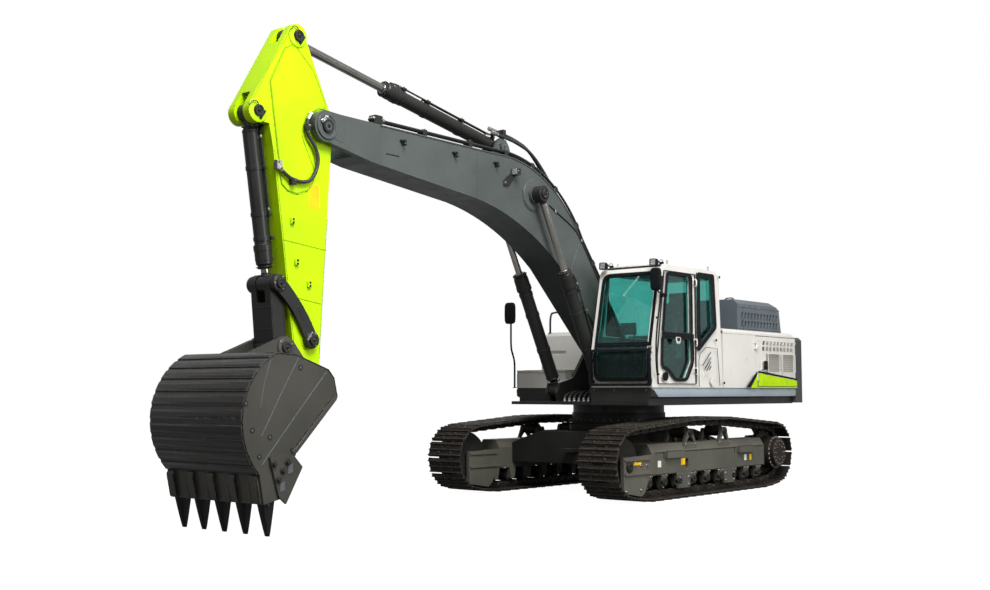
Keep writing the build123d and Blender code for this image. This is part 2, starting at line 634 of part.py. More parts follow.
def cab_door():
    """Cab door as thick as the wall, with an upper and a lower window and a round air inlet."""
    outer = UPPER_HALF_WIDTH
    with BuildPart() as door:
        with BuildSketch(side(outer)):
            with BuildLine():
                Polyline(*DOOR_OUTLINE, close=True)
            make_face()
            offset(amount=-PANEL_GAP, kind=Kind.INTERSECTION, mode=Mode.REPLACE)
        extrude(amount=CAB_WALL)
        for outline in (DOOR_UPPER_PANE, DOOR_LOWER_PANE):
            pane(outline, outer - CAB_WALL - 5, outer + 5, Mode.SUBTRACT)
        disc((1165, 1640), 62, outer - 5, outer + 12)
        hinge_knuckles(CAB_DOOR_HINGE, CAB_DOOR_HINGE[0] + 60, outer, CAB_DOOR_HINGE_HEIGHTS)
    write(door, "cab_door")


def cab_door_glass():
    """Two panes of the door."""
    low = UPPER_HALF_WIDTH - 35
    with BuildPart() as panes:
        for outline in (DOOR_UPPER_PANE, DOOR_LOWER_PANE):
            pane(outline, low, low + GLASS_THICKNESS, gap=RUNNING_GAP)
    write(panes, "cab_door_glass")


def front_strip(offset_near, offset_far, z_low, z_high):
    """Side view of a strip parallel to the cab's lower front face, between two distances from it."""
    foot, brow = cab_profile(0)[:2]
    lean = (brow[0] - foot[0]) / (brow[1] - foot[1])
    x_low = foot[0] + lean * (z_low - foot[1])
    x_high = foot[0] + lean * (z_high - foot[1])
    return [(x_low + offset_near, z_low), (x_low + offset_far, z_low), (x_high + offset_far, z_high),
            (x_high + offset_near, z_high)]


def cab_guard():
    """Guard before the lower windscreen: a frame on four stand-offs, with upright and level bars."""
    left, right = CAB_INNER + 5, UPPER_HALF_WIDTH - 12
    low, high = CAB_FLOOR + 20, GUARD_TOP
    near, far = 40, 40 + GUARD_BAR
    with BuildPart() as guard:
        for y in (left, right - GUARD_BAR):
            plate(front_strip(near, far, low, high), y, y + GUARD_BAR)
        for z in (low, high - GUARD_BAR):
            plate(front_strip(near, far, z, z + GUARD_BAR), left, right)
        for y in (CAB_INNER + 20, UPPER_HALF_WIDTH - 70):
            for z in (low + 45, 1840):
                plate(front_strip(RUNNING_GAP, near + 5, z, z + 40), y, y + 40)
            plate(front_strip(near, near + 12, low, high), y, y + 40)
        bars = 16
        for i in range(1, bars):
            y = left + (right - left) * i / bars
            plate(front_strip(near + 14, near + 20, low + 10, high - 10), y - 4, y + 4)
        for i in range(1, 6):
            z = low + (high - low) * i / 6
            plate(front_strip(near + 14, near + 20, z - 4, z + 4), left + 10, right - 10)
    write(guard, "cab_guard")


def mirrors_and_lamps():
    """Two work lamps on the cab's roof, the mirror on its front pillar and the far mirror on its handrail."""
    with BuildPart() as fittings:
        front = cab_profile(0)[2][0]
        for y in (CAB_INNER + 95, UPPER_HALF_WIDTH - 95):
            # foot on the roof's front slope, neck and square lamp
            block((front - 155, front - 115), (y - 25, y + 25), (CAB_ROOF + RUNNING_GAP, CAB_ROOF + 34))
            block((front - 135, front + 40), (y - 12, y + 12), (CAB_ROOF + 14, CAB_ROOF + 34))
            low = CAB_ROOF - 40
            block((front + 30, front + 105), (y - LAMP_SIZE / 2, y + LAMP_SIZE / 2), (low, low + LAMP_SIZE))
        # left mirror: two short arms out of the pillar and the housing
        outer = UPPER_HALF_WIDTH + RUNNING_GAP
        block((1215, 1262), (outer, outer + 26), (2700, 2760))
        tube([(1238, outer + 20, 2730), (1238, outer + 66, 2730), (1445, outer + 66, 2760), (1445, outer + 66, 2900)],
             40, 11)
        block((1428, 1482), (outer + 10, outer + 172), (2775, 3080))
        # far mirror on the tube that rises from the tool box
        y = -UPPER_HALF_WIDTH + 22
        upright_pin(600, y, 30, 1490 + RUNNING_GAP, 1502)
        tube([(600, y, 1495), (600, y, 1900), (690, y, 2100), (690, y, 2640), (690, y - 60, 2700)], 90, MIRROR_TUBE)
        block((668, 718), (y - 150, y + 20), (2480, 2790))
    write(fittings, "mirrors_and_lamps")


def rear_body():
    """Machine house behind the cab: walls round the engine bay, open at its two service doors."""
    wall_top = HOOD_TOP - LID_THICKNESS
    left, right = UPPER_HALF_WIDTH, -UPPER_HALF_WIDTH + 10
    with BuildPart() as house:
        block((HOUSE_REAR, HOUSE_FRONT), (right, left), (DECK_TOP, wall_top))
        block((HOUSE_REAR + 50, HOUSE_FRONT - 65), (right + 60, left - 65), (DECK_TOP, wall_top + 1), Mode.SUBTRACT)
        block((HOUSE_REAR + 10, REAR_DOOR_HINGE[0]), (left - 66, left + 5), (DECK_TOP + 20, wall_top + 1),
              Mode.SUBTRACT)
        block((-2300, PUMP_DOOR_HINGE[0]), (right - 20, right + 70), (DECK_TOP + 20, wall_top + 1), Mode.SUBTRACT)
        # cut away in front of the tanks on the right
        block((-1180, HOUSE_FRONT + 15), (right - 20, 380), (DECK_TOP - 5, HOOD_TOP), Mode.SUBTRACT)
        hinge_pins(REAR_DOOR_HINGE, REAR_DOOR_HINGE[0] + 45, left, HOUSE_DOOR_HINGE_HEIGHTS)
        hinge_pins(PUMP_DOOR_HINGE, PUMP_DOOR_HINGE[0] + 45, right, HOUSE_DOOR_HINGE_HEIGHTS)
    write(house, "rear_body")


def engine_block():
    """Engine and pumps as one plain mass."""
    with BuildPart() as engine:
        block((-2250, -1350), (-900, 900), (DECK_TOP, 2150))
    write(engine, "engine_block")


def engine_hood():
    """Hood over the engine bay with its raised box, bevelled along the top and slotted for air."""
    seat = HOOD_TOP - LID_THICKNESS + RUNNING_GAP
    (rear, front), (right, left) = HOOD_BOX, HOOD_BOX_Y
    bevel = 110
    slots = 12
    pitch = (front - rear - 220) / slots
    with BuildPart() as hood:
        block((-2790, HOUSE_FRONT - 5), (-UPPER_HALF_WIDTH + 20, UPPER_HALF_WIDTH - 10), (seat, HOOD_TOP))
        plate([(rear, HOOD_TOP - 5), (rear + 80, HOOD_BOX_TOP - bevel), (rear + 300, HOOD_BOX_TOP),
               (front, HOOD_BOX_TOP), (front, HOOD_TOP - 5)], right, left)
        chamfer(hood.edges().filter_by(Axis.X).group_by(Axis.Z)[-1], length=70)
        block((rear + 110, front - HOOD_WALL), (right + HOOD_WALL, left - HOOD_WALL),
              (HOOD_TOP - 45, HOOD_BOX_TOP - 115), Mode.SUBTRACT)
        # two rows of air slots in the side wall
        for row in range(2):
            low = HOOD_TOP + 105 + row * 125
            for i in range(slots):
                x = rear + 150 + i * pitch
                plate([(x, low), (x + 0.6 * pitch, low), (x + 0.6 * pitch - 20, low + 92), (x - 20, low + 92)],
                      left - HOOD_WALL - 1, left + 1, Mode.SUBTRACT)
        block((-1190, HOUSE_FRONT + 15), (-UPPER_HALF_WIDTH - 10, 395), (HOOD_TOP - 45, 3000), Mode.SUBTRACT)
        # hinge tubes over the counterweight end
        for y in (-1100, 0, 1100):
            disc(HOOD_HINGE, 16, y - 60, y + 60)
    write(hood, "engine_hood")


def left_rear_door():
    """Service door on the cab side, over the coolers, with two slatted openings and two rows of louvres."""
    low_x, high_x = HOUSE_REAR + 10 + PANEL_GAP, REAR_DOOR_HINGE[0] - PANEL_GAP
    inner, outer = UPPER_HALF_WIDTH - 45, UPPER_HALF_WIDTH
    with BuildPart() as door:
        block((low_x, high_x), (inner, outer), (DECK_TOP + 26, HOOD_TOP - LID_THICKNESS - PANEL_GAP))
        for x in ((-2770, -2340), (-2290, -1850)):
            block(x, (inner - 1, outer + 1), (1740, 2010), Mode.SUBTRACT)
            slats(x, (outer - 26, outer - 8), (1740, 2010), 36, 16)
        for low, lean in ((2060, 0), (2150, 34)):
            for i in range(9):
                x = -2760 + i * 120
                plate([(x, low), (x + 74, low), (x + 74 - lean, low + 58), (x - lean, low + 58)],
                      inner - 1, outer + 1, Mode.SUBTRACT)
        # latch
        block((-1790, -1690), (outer - 5, outer + 14), (1770, 1900))
        hinge_knuckles(REAR_DOOR_HINGE, REAR_DOOR_HINGE[0] - 60, outer, HOUSE_DOOR_HINGE_HEIGHTS)
    write(door, "left_rear_door")


def right_pump_door():
    """Service door on the far side, over the pumps, with one slatted opening."""
    outer, inner = -UPPER_HALF_WIDTH + 10, -UPPER_HALF_WIDTH + 55
    with BuildPart() as door:
        block((-2294, PUMP_DOOR_HINGE[0] - PANEL_GAP), (outer, inner),
              (DECK_TOP + 26, HOOD_TOP - LID_THICKNESS - PANEL_GAP))
        block((-2200, -1700), (outer - 1, inner + 1), (1740, 2110), Mode.SUBTRACT)
        slats((-2200, -1700), (outer + 8, outer + 26), (1740, 2110), 36, 16)
        block((-2260, -2215), (outer - 14, outer + 5), (1770, 1900))
        hinge_knuckles(PUMP_DOOR_HINGE, PUMP_DOOR_HINGE[0] - 60, outer, HOUSE_DOOR_HINGE_HEIGHTS)
    write(door, "right_pump_door")


def fuel_tank():
    """Fuel and oil tanks on the right side, with bevelled tops, a filler cap and grip recesses."""
    right, left = -UPPER_HALF_WIDTH + 10, -520
    rear, top = -1170, 2360
    with BuildPart() as tank:
        with BuildSketch(Plane(origin=(rear, 0, 0), x_dir=(0, 1, 0), z_dir=(1, 0, 0))):
            with BuildLine():
                Polyline((right, DECK_TOP), (left, DECK_TOP), (left, top - 160), (left - 100, top),
                         (right + 100, top), (right, top - 160), close=True)
            make_face()
        extrude(amount=1110)
        chamfer(tank.edges().filter_by(Axis.Y).sort_by(Axis.Z)[-1:], length=60)
        block((-420, -180), (right - 1, right + 30), (1960, 2020), Mode.SUBTRACT)
        block((-90, -50), (-1330, -1010), (2010, 2070), Mode.SUBTRACT)
        upright_pin(-420, -900, 70, top - 5, top + 45)
        upright_pin(-900, -1100, 55, top - 5, top + 35)
    write(tank, "fuel_tank")


def tool_box():
    """Step and tool box in front of the tank, hollow under its lid."""
    right, left = -UPPER_HALF_WIDTH + 5, -560
    with BuildPart() as box:
        block((-50, 565), (right, left), (DECK_TOP, 1715))
        block((-50, -8), (right, left), (1700, 1758))
        block((0, 515), (right + 50, left - 50), (DECK_TOP + 40, 1760), Mode.SUBTRACT)
        # tubes that the lid turns on
        for y in (-1350, -700):
            disc(TOOL_BOX_HINGE, 12, y - 60, y + 60)
            block((-25, -8), (y - 60, y - 22), (1750, TOOL_BOX_HINGE[1]))
            block((-25, -8), (y + 22, y + 60), (1750, TOOL_BOX_HINGE[1]))
    write(box, "tool_box")


def tool_box_lid():
    """Lid of the tool box with a rounded front edge."""
    right, left = -UPPER_HALF_WIDTH + 5, -560
    with BuildPart() as lid:
        block((-2, 565), (right, left), (1715 + RUNNING_GAP, 1758))
        fillet(lid.edges().filter_by(Axis.Y).sort_by(Axis.X)[-1:], radius=30)
        for y in (-1350, -700):
            block((2, 40), (y - 20, y + 20), (1750, 1790))
            disc(TOOL_BOX_HINGE, 24, y - 20, y + 20)
            disc(TOOL_BOX_HINGE, 12 + PIN_GAP, y - 21, y + 21, Mode.SUBTRACT)
    write(lid, "tool_box_lid")


# ================================================================ boom

BOOM_FOOT_TOP = (60, 2080)
BOOM_BACK = ((3150, 4520), (2080, 4285), (1300, 3560))    # start, middle and end of the bend on top


def arc_of(points):
    """Centre, radius, first angle and last angle of the arc through three points."""
    (ax, ay), (bx, by), (cx, cy) = points
    a, b, c = ax * ax + ay * ay, bx * bx + by * by, cx * cx + cy * cy
    d = 2 * (ax * (by - cy) + bx * (cy - ay) + cx * (ay - by))
    centre = ((a * (by - cy) + b * (cy - ay) + c * (ay - by)) / d, (a * (cx - bx) + b * (ax - cx) + c * (bx - ax)) / d)
    first = math.atan2(ay - centre[1], ax - centre[0])
    last = math.atan2(cy - centre[1], cx - centre[0])
    return centre, math.dist(centre, points[0]), first, last


def over_arc(points, angle, height):
    """Point at a height over the arc through three points, in side view."""
    centre, radius = arc_of(points)[:2]
    return (centre[0] + (radius + height) * math.cos(angle), centre[1] + (radius + height) * math.sin(angle))


def clamp_on_arc(points, angle, half_length, low, high, y_low, y_high):
    """Block between two heights over an arc, square to it."""
    half = half_length / arc_of(points)[1]
    plate([over_arc(points, angle - half, low), over_arc(points, angle + half, low),
           over_arc(points, angle + half, high), over_arc(points, angle - half, high)], y_low, y_high)


def boom_outline():
    """Side view of the boom's welded box."""
    with BuildLine() as outline:
        top = Line((5950, 4535), BOOM_BACK[0])
        back = ThreePointArc(*BOOM_BACK)
        Polyline(back @ 1, BOOM_FOOT_TOP, (60, 1850), (340, 1800), (1800, 3140))
        belly = ThreePointArc((1800, 3140), (2600, 3600), (3600, 3880))
        Polyline(belly @ 1, (5450, 4070), (6125, 4196), (6125, 4544), top @ 0)
    return outline.line


def boom_box():
    """Bent box beam with a fork at the tip and round bosses at its pins."""
    tip, foot = BOOM_TIP_PIN, BOOM_FOOT_PIN
    with BuildPart() as boom:
        with BuildSketch(side(BOOM_HALF_WIDTH)):
            with BuildLine():
                add(boom_outline())
            make_face()
        extrude(amount=2 * BOOM_HALF_WIDTH)
        # side plates inside the edges of the top and bottom plates, up to the castings at both ends
        for sign in (-1, 1):
            low, high = sorted((sign * (BOOM_HALF_WIDTH - BOOM_WEB_INSET), sign * (BOOM_HALF_WIDTH + 1)))
            with BuildSketch(side(high)):
                with BuildLine():
                    add(boom_outline())
                make_face()
                offset(amount=-14, kind=Kind.INTERSECTION, mode=Mode.REPLACE)
                with Locations((6000, 4300), (0, 1900)):
                    Rectangle(1340, 1200, mode=Mode.SUBTRACT)
            extrude(amount=high - low, mode=Mode.SUBTRACT)
            low, high = sorted((sign * (BOOM_HALF_WIDTH - BOOM_WEB_INSET - 5), sign * (BOOM_HALF_WIDTH + 4)))
            disc(BOOM_CYLINDER_EYE, 215, low, high)
        # work lamp on its bracket on the cab's side
        plate([(2960, 4120), (3050, 4120), (3050, 4190), (2900, 4300), (2800, 4300), (2800, 4270)],
              BOOM_HALF_WIDTH - 15, BOOM_HALF_WIDTH + 10)
        block((2795, 2875), (BOOM_HALF_WIDTH + 5, BOOM_HALF_WIDTH + 95), (4275, 4365))
        disc(tip, 178, -BOOM_HALF_WIDTH, BOOM_HALF_WIDTH)
        disc(foot, 178, -BOOM_HALF_WIDTH, BOOM_HALF_WIDTH)
        # slot of the fork that takes the arm
        plate([(5540, 4700), (5540, 4500), (5680, 4100), (5640, 3900), (6500, 3900), (6500, 4800)],
              -BOOM_FORK_HALF_GAP, BOOM_FORK_HALF_GAP, Mode.SUBTRACT)
        disc(tip, PIN_RADIUS, -BOOM_HALF_WIDTH - 32, BOOM_HALF_WIDTH + 32)
        disc(foot, PIN_RADIUS + 10 + PIN_GAP, -BOOM_HALF_WIDTH, BOOM_HALF_WIDTH, Mode.SUBTRACT)
        for sign in (-1, 1):
            low, high = sorted((sign * BOOM_HALF_WIDTH, sign * (BOOM_CYLINDER_Y - EYE_HALF_WIDTH - PLATE_GAP)))
            disc(BOOM_CYLINDER_EYE, 120, low, high)
            # ears of the arm cylinder on the boom's back
            low, high = sorted((sign * (EYE_HALF_WIDTH + PLATE_GAP), sign * (EYE_HALF_WIDTH + PLATE_GAP + 45)))
            plate([(2620, 4380), (3120, 4510), (2990, 4740), (2940, 4780), (2820, 4770), (2760, 4700)], low, high)
        disc(ARM_CYLINDER_FOOT, PIN_RADIUS, -EYE_HALF_WIDTH - PLATE_GAP - 70, EYE_HALF_WIDTH + PLATE_GAP + 70)
    write(boom, "boom_box")


def cylinder_hoses():
    """Two thick hoses that leave the arm cylinder's foot in a bow and come down on the boom's back."""
    first, last = arc_of(BOOM_BACK)[2:]
    seat = first + 0.80 * (last - first)
    down = [over_arc(BOOM_BACK, first + share * (last - first), height) for share, height in ((0.66, 120), (0.86, 62))]
    for y, lift in ((68, 0), (122, -55)):
        route = [(3090, 4880 + lift), (2600, 4825 + lift), (2230, 4725 + lift)] + down
        tube([(x, y, z) for x, z in route], 240, HOSE_RADIUS)
    # holder on the cylinder's ears, and clamp on the boom's back
    plate([(2850, 4772.9), (2910, 4777.9), (2910, 4900), (2850, 4900)], 74, 112)
    block((2850, 2910), (44, 146), (4800, 4900))
    clamp_on_arc(BOOM_BACK, seat, 35, RUNNING_GAP, 125, 44, 146)


def boom_pipes():
    """Pair of steel oil pipes over the boom's back on clamps, and the arm cylinder's hoses."""
    radius, first, last = arc_of(BOOM_BACK)[1:]
    parts = 3
    step = (last - first) / parts
    corners = [over_arc(BOOM_BACK, first + (i + 0.5) * step, (radius + PIPE_RISE) / math.cos(step / 2) - radius)
               for i in range(parts)]
    front, end = (5440, BOOM_BACK[0][1] + 12), along(BOOM_BACK[2], BOOM_FOOT_TOP, 900, -PIPE_RISE)
    path = [(front[0], front[1] + PIPE_RISE)] + corners + [end]
    head = PIPE_RISE + PIPE_RADIUS + 8
    with BuildPart() as pipes:
        for y in (185, 240):
            tube([(x, y, z) for x, z in path], 1300, PIPE_RADIUS)
        # clamps on the bend, then on the straight front and on the slope down to the foot
        for share in (0.08, 0.34, 0.60, 0.90):
            clamp_on_arc(BOOM_BACK, first + share * (last - first), 32, RUNNING_GAP, head, 158, 252)
        for x in (3700, 4550, 5380):
            seat = BOOM_BACK[0][1] + (x + 32 - BOOM_BACK[0][0]) * 15 / 2800 + RUNNING_GAP
            block((x - 32, x + 32), (158, 252), (seat, seat + head))
        for distance in (420, 800):
            plate([along(BOOM_BACK[2], BOOM_FOOT_TOP, distance - 32, -RUNNING_GAP),
                   along(BOOM_BACK[2], BOOM_FOOT_TOP, distance + 32, -RUNNING_GAP),
                   along(BOOM_BACK[2], BOOM_FOOT_TOP, distance + 32, -head),
                   along(BOOM_BACK[2], BOOM_FOOT_TOP, distance - 32, -head)], 158, 252)
        # valve block at the front end, from which hoses go on to the arm
        plate([(5290, 4532), (5400, 4532.6), (5400, 4640), (5330, 4640), (5290, 4600)], 150, 256)
        cylinder_hoses()
    write(pipes, "boom_pipes")


# ================================================================ cylinders

def cylinder(name, foot, eye, y, outer, bore, rod, gland_end, eye_radius):
    """Barrel from its foot eye to the gland, round a blind bore for the rod."""
    length = math.dist(foot, eye)
    direction = ((eye[0] - foot[0]) / length, 0, (eye[1] - foot[1]) / length)
    section = Plane(origin=(foot[0], y, foot[1]), x_dir=direction, z_dir=(0, -1, 0))
    neck = EYE_HALF_WIDTH - 4
    start = eye_radius + 95
    floor = start + 20
    gland = gland_end - 230
    with BuildPart() as barrel:
        with BuildSketch(section):
            with BuildLine():
                Polyline((0, 0), (0, neck), (start - 40, neck), (start, outer), (gland, outer), (gland, outer + 16),
                         (gland + 60, outer + 16), (gland + 60, outer + 8), (gland_end - 30, outer + 8),
                         (gland_end - 12, outer - 8), (gland_end, outer - 8), (gland_end, rod + RUNNING_GAP), (gland, rod + RUNNING_GAP),
                         (gland, bore), (floor, bore), (floor, 0), close=True)
            make_face()
        revolve(axis=Axis((foot[0], y, foot[1]), direction))
        disc(foot, eye_radius, y - EYE_HALF_WIDTH, y + EYE_HALF_WIDTH)
        disc(foot, PIN_RADIUS + PIN_GAP, y - EYE_HALF_WIDTH - 5, y + EYE_HALF_WIDTH + 5, Mode.SUBTRACT)
    write(barrel, name)


def piston_rod(name, foot, eye, y, rod, inner_end, eye_radius):
    """Chromed rod with the eye at its end."""
    length = math.dist(foot, eye)
    direction = ((eye[0] - foot[0]) / length, 0, (eye[1] - foot[1]) / length)
    inner = (foot[0] + direction[0] * inner_end, y, foot[1] + direction[2] * inner_end)
    with BuildPart() as piece:
        with BuildSketch(Plane(origin=inner, z_dir=direction)):
            Circle(rod)
        extrude(amount=length - inner_end - eye_radius * 0.5)
        disc(eye, eye_radius, y - EYE_HALF_WIDTH, y + EYE_HALF_WIDTH)
    write(piece, name)


CYLINDERS = (
    # name, foot, eye, y, outer radius, bore radius, rod radius, gland end, rod's inner end, eye radius
    ("boom_cylinder_left", BOOM_CYLINDER_FOOT, BOOM_CYLINDER_EYE, BOOM_CYLINDER_Y, 92, 76, 46, 1820, 1170, 105),
    ("boom_cylinder_right", BOOM_CYLINDER_FOOT, BOOM_CYLINDER_EYE, -BOOM_CYLINDER_Y, 92, 76, 46, 1820, 1170, 105),
    ("arm_cylinder", ARM_CYLINDER_FOOT, ARM_CYLINDER_EYE, 0, 88, 74, 50, 2165, 1600, 105),
    ("bucket_cylinder", BUCKET_CYLINDER_FOOT, LINK_PIN, 0, 82, 68, 45, 1650, 330, 95),
)


# ================================================================ arm

def arm_box():
    """Arm with twin ears for both cylinders at its head and a cross tube for the bucket pin."""
    tip, eye, foot = BOOM_TIP_PIN, ARM_CYLINDER_EYE, BUCKET_CYLINDER_FOOT
    with BuildPart() as arm:
        with BuildSketch(side(ARM_HALF_WIDTH)):
            with BuildLine():
                Polyline((6420, 5430), (6620, 5420), (7170, 4470), (7060, 4300), (6900, 4290), (6843, 4048),
                         (6660, 2842), (6470, 1560), (6330, 1335), (6185, 1420), (6144, 1782), (6068, 3116),
                         (6000, 4200), (5985, 4460), (6390, 5300), close=True)
            make_face()
        extrude(amount=2 * ARM_HALF_WIDTH)
        # gaps between the ears at both cylinder pins
        gap = EYE_HALF_WIDTH + PLATE_GAP
        disc(eye, 235, -gap, gap, Mode.SUBTRACT)
        disc(foot, 215, -gap, gap, Mode.SUBTRACT)
        for point, radius in ((eye, 135), (foot, 128)):
            for sign in (-1, 1):
                low, high = sorted((sign * gap, sign * ARM_HALF_WIDTH))
                disc(point, radius, low, high)
                low, high = sorted((sign * ARM_HALF_WIDTH, sign * (ARM_HALF_WIDTH + 22)))
                disc(point, PIN_RADIUS, low, high)
        disc(foot, PIN_RADIUS, -gap, gap)
        disc(tip, 165, -ARM_HALF_WIDTH - 4, ARM_HALF_WIDTH + 4)
        disc(BUCKET_PIN, 150, -ARM_HALF_WIDTH - 4, ARM_HALF_WIDTH + 4)
        for sign in (-1, 1):
            low, high = sorted((sign * (ARM_HALF_WIDTH - 2), sign * (ARM_HALF_WIDTH + ARM_DOUBLER)))
            with BuildSketch(side(high)):
                with BuildLine():
                    ThreePointArc((6700, 5150), (6610, 5205), (6530, 5185))
                    Polyline((6530, 5185), (6290, 4985), (6110, 4660), (6110, 4585))
                    ThreePointArc((6110, 4585), (6300, 4505), (6430, 4350))
                    ThreePointArc((6430, 4350), (6440, 4210), (6370, 4080))
                    Line((6370, 4080), (6270, 3900))
                    ThreePointArc((6270, 3900), (6262, 3800), (6290, 3715))
                    ThreePointArc((6290, 3715), (6490, 3577), (6720, 3665))
                    Polyline((6720, 3665), (6895, 4750), (6700, 5150))
                make_face()
            extrude(amount=high - low)
        # blocks for the pipe clamps, and the low stiffener
        for x, z in ARM_CLAMPS:
            block((x - 26, x + 26), (ARM_HALF_WIDTH - 2, ARM_HALF_WIDTH + 26), (z - 34, z + 34))
        for point in (tip, BUCKET_PIN, ROCKER_PIN):
            disc(point, PIN_RADIUS + PIN_GAP, -ARM_HALF_WIDTH - 9, ARM_HALF_WIDTH + 9, Mode.SUBTRACT)
    write(arm, "arm_box")


def arm_hoses():
    """Two hoses in an S down the arm's cab side to the bucket cylinder's port block, held by two clamps."""
    face = ARM_HALF_WIDTH + RUNNING_GAP
    route = [(6352, 4470), (6425, 4330), (6300, 4085), (6175, 3900), (6300, 3725), (6560, 3690), (6790, 3850)]
    with BuildPart() as hoses:
        tube([(x, face + 42, z) for x, z in route], 85, HOSE_RADIUS)
        block((6385, 6445), (face + ARM_DOUBLER, face + 66), (4275, 4340))
        block((6560, 6620), (face + ARM_DOUBLER, face + 66), (3665, 3735))
        block((6762, 6835), (face, face + 70), (3800, 3900))
    write(hoses, "arm_hoses")


# ================================================================ bucket and its linkage

BUCKET_BACK = ((7447, 620), (7655, 1310), (7235, 1830))      # lip end, middle and top of the wrapped back

def rockers():
    """Two curved side levers outside the arm, joined by the pin through the arm's pin tube."""
    with BuildPart() as pair:
        for sign in (-1, 1):
            low, high = sorted((sign * (ARM_HALF_WIDTH + PLATE_GAP), sign * (ARM_HALF_WIDTH + PLATE_GAP + 45)))
            b, c = ROCKER_PIN, LINK_PIN
            with BuildSketch(side(high)):
                with BuildLine():
                    outer = ThreePointArc(along(b, c, 0, 85), along(b, c, math.dist(b, c) / 2, 120), along(b, c, math.dist(b, c), 85))
                    inner = ThreePointArc(along(b, c, math.dist(b, c), -85), along(b, c, math.dist(b, c) / 2, -30), along(b, c, 0, -85))
                    Line(outer @ 1, inner @ 0)
                    Line(inner @ 1, outer @ 0)
                make_face()
                with Locations(b, c):
                    Circle(95)
            extrude(amount=45)
            low, high = sorted((sign * (EYE_HALF_WIDTH + PLATE_GAP), sign * (ARM_HALF_WIDTH + PLATE_GAP + 72)))
            disc(c, PIN_RADIUS, low, high)
        reach = ARM_HALF_WIDTH + PLATE_GAP + 72
        disc(b, PIN_RADIUS, -reach, reach)
    write(pair, "rockers")


def bucket_link():
    """Box link from the rocker pin to the bucket, forked round the rod's eye."""
    c, d = LINK_PIN, BUCKET_LINK_PIN
    length = math.dist(c, d)
    half = ARM_HALF_WIDTH - 3
    gap = EYE_HALF_WIDTH + PLATE_GAP
    with BuildPart() as link:
        plate([along(c, d, 0, 90), along(c, d, 0, -90), along(c, d, length, -90), along(c, d, length, 90)], -half, half)
        disc(c, 105, -half, half)
        disc(d, 105, -half, half)
        disc(c, 215, -gap, gap, Mode.SUBTRACT)
        disc(c, PIN_RADIUS + PIN_GAP, -half - 1, half + 1, Mode.SUBTRACT)
    write(link, "bucket_link")


def bucket_shell():
    """Bucket: wrapped back with wear strips between two side plates, lip, side cutters and ears for two pins."""
    wall = BUCKET_WALL
    first, last = arc_of(BUCKET_BACK)[2:]
    with BuildPart() as bucket:
        with BuildSketch(side(BUCKET_HALF_WIDTH)):
            with BuildLine():
                front = Line((7390, 330), BUCKET_BACK[0])
                curve = ThreePointArc(*BUCKET_BACK)
                Polyline(curve @ 1, (6990, 1815), (6547, 1668), (6467, 1581), (6418, 1384), (6966, 843),
                         (7190, 370), front @ 0)
            make_face()
        extrude(amount=2 * BUCKET_HALF_WIDTH)
        with BuildSketch(side(BUCKET_HALF_WIDTH - wall)):
            with BuildLine():
                front = Line((7390 - wall - 12, 300), over_arc(BUCKET_BACK, first, -wall))
                curve = ThreePointArc(*[over_arc(BUCKET_BACK, first + share * (last - first), -wall)
                                        for share in (0, 0.5, 1)])
                Polyline(curve @ 1, (6995, 1815 - wall), (6560, 1668 - wall), (6490, 1560), (6300, 1200), (6300, 300),
                         front @ 0)
            make_face()
        extrude(amount=2 * (BUCKET_HALF_WIDTH - wall), mode=Mode.SUBTRACT)
        # wear strips across the back
        for i in range(WEAR_STRIPS):
            angle = first + (i + 0.5) / WEAR_STRIPS * (last - first)
            clamp_on_arc(BUCKET_BACK, angle, 52, -4, 13, -BUCKET_HALF_WIDTH + 6, BUCKET_HALF_WIDTH - 6)
        # adapters that hold the teeth, and the side cutters
        for i in range(TOOTH_COUNT):
            y = tooth_middle(i)
            plate([(7386, 331), (7416, 338), (7472, 588), (7444, 606)], y - TOOTH_WIDTH / 2, y + TOOTH_WIDTH / 2)
        for sign in (-1, 1):
            low, high = sorted((sign * (BUCKET_HALF_WIDTH - 5), sign * (BUCKET_HALF_WIDTH + 25)))
            plate([(7339, 782), (7114, 814), (7013, 782), (6912, 679), (7124, 322), (7216, 397)], low, high)
            low, high = sorted((sign * EAR_INNER, sign * (EAR_INNER + EAR_THICKNESS)))
            plate([(6240, 1400), (6420, 1380), (6520, 1640), (7235, 1815), (6800, 1990), (6600, 1990), (6280, 1620)],
                  low, high)
            disc(BUCKET_PIN, 130, low, high)
            disc(BUCKET_LINK_PIN, 120, low, high)
            low, high = sorted((sign * (EAR_INNER + EAR_THICKNESS), sign * (EAR_INNER + EAR_THICKNESS + 25)))
            disc(BUCKET_LINK_PIN, PIN_RADIUS, low, high)
        disc(BUCKET_PIN, 300, -EAR_INNER, EAR_INNER, Mode.SUBTRACT)
        reach = EAR_INNER + EAR_THICKNESS + 25
        disc(BUCKET_PIN, PIN_RADIUS, -reach, reach)
    write(bucket, "bucket_shell")


def tooth_middle(index):
    """Place of a tooth across the bucket."""
    reach = BUCKET_HALF_WIDTH - TOOTH_WIDTH / 2 - 25
    return -reach + 2 * reach * index / (TOOTH_COUNT - 1)


def bucket_teeth():
    """Wedge teeth that narrow from the lip to their tips."""
    with BuildPart() as teeth:
        for i in range(TOOTH_COUNT):
            y = tooth_middle(i)
            root = Plane(origin=(7300, y, 347.6), x_dir=(0, 1, 0), z_dir=(-0.196, 0, -0.9806))
            with BuildSketch(root):
                Rectangle(TOOTH_WIDTH, 150)
            with BuildSketch(Plane(origin=(7290, y, 200), x_dir=(0, 1, 0), z_dir=(-0.1, 0, -0.995))):
                Rectangle(TOOTH_WIDTH * 0.82, 92)
            with BuildSketch(Plane(origin=(7272, y, 8), x_dir=(0, 1, 0), z_dir=(0, 0, -1))):
                Rectangle(TOOTH_WIDTH * 0.55, 20)
            loft(ruled=True)
    write(teeth, "bucket_teeth")


# ================================================================ building

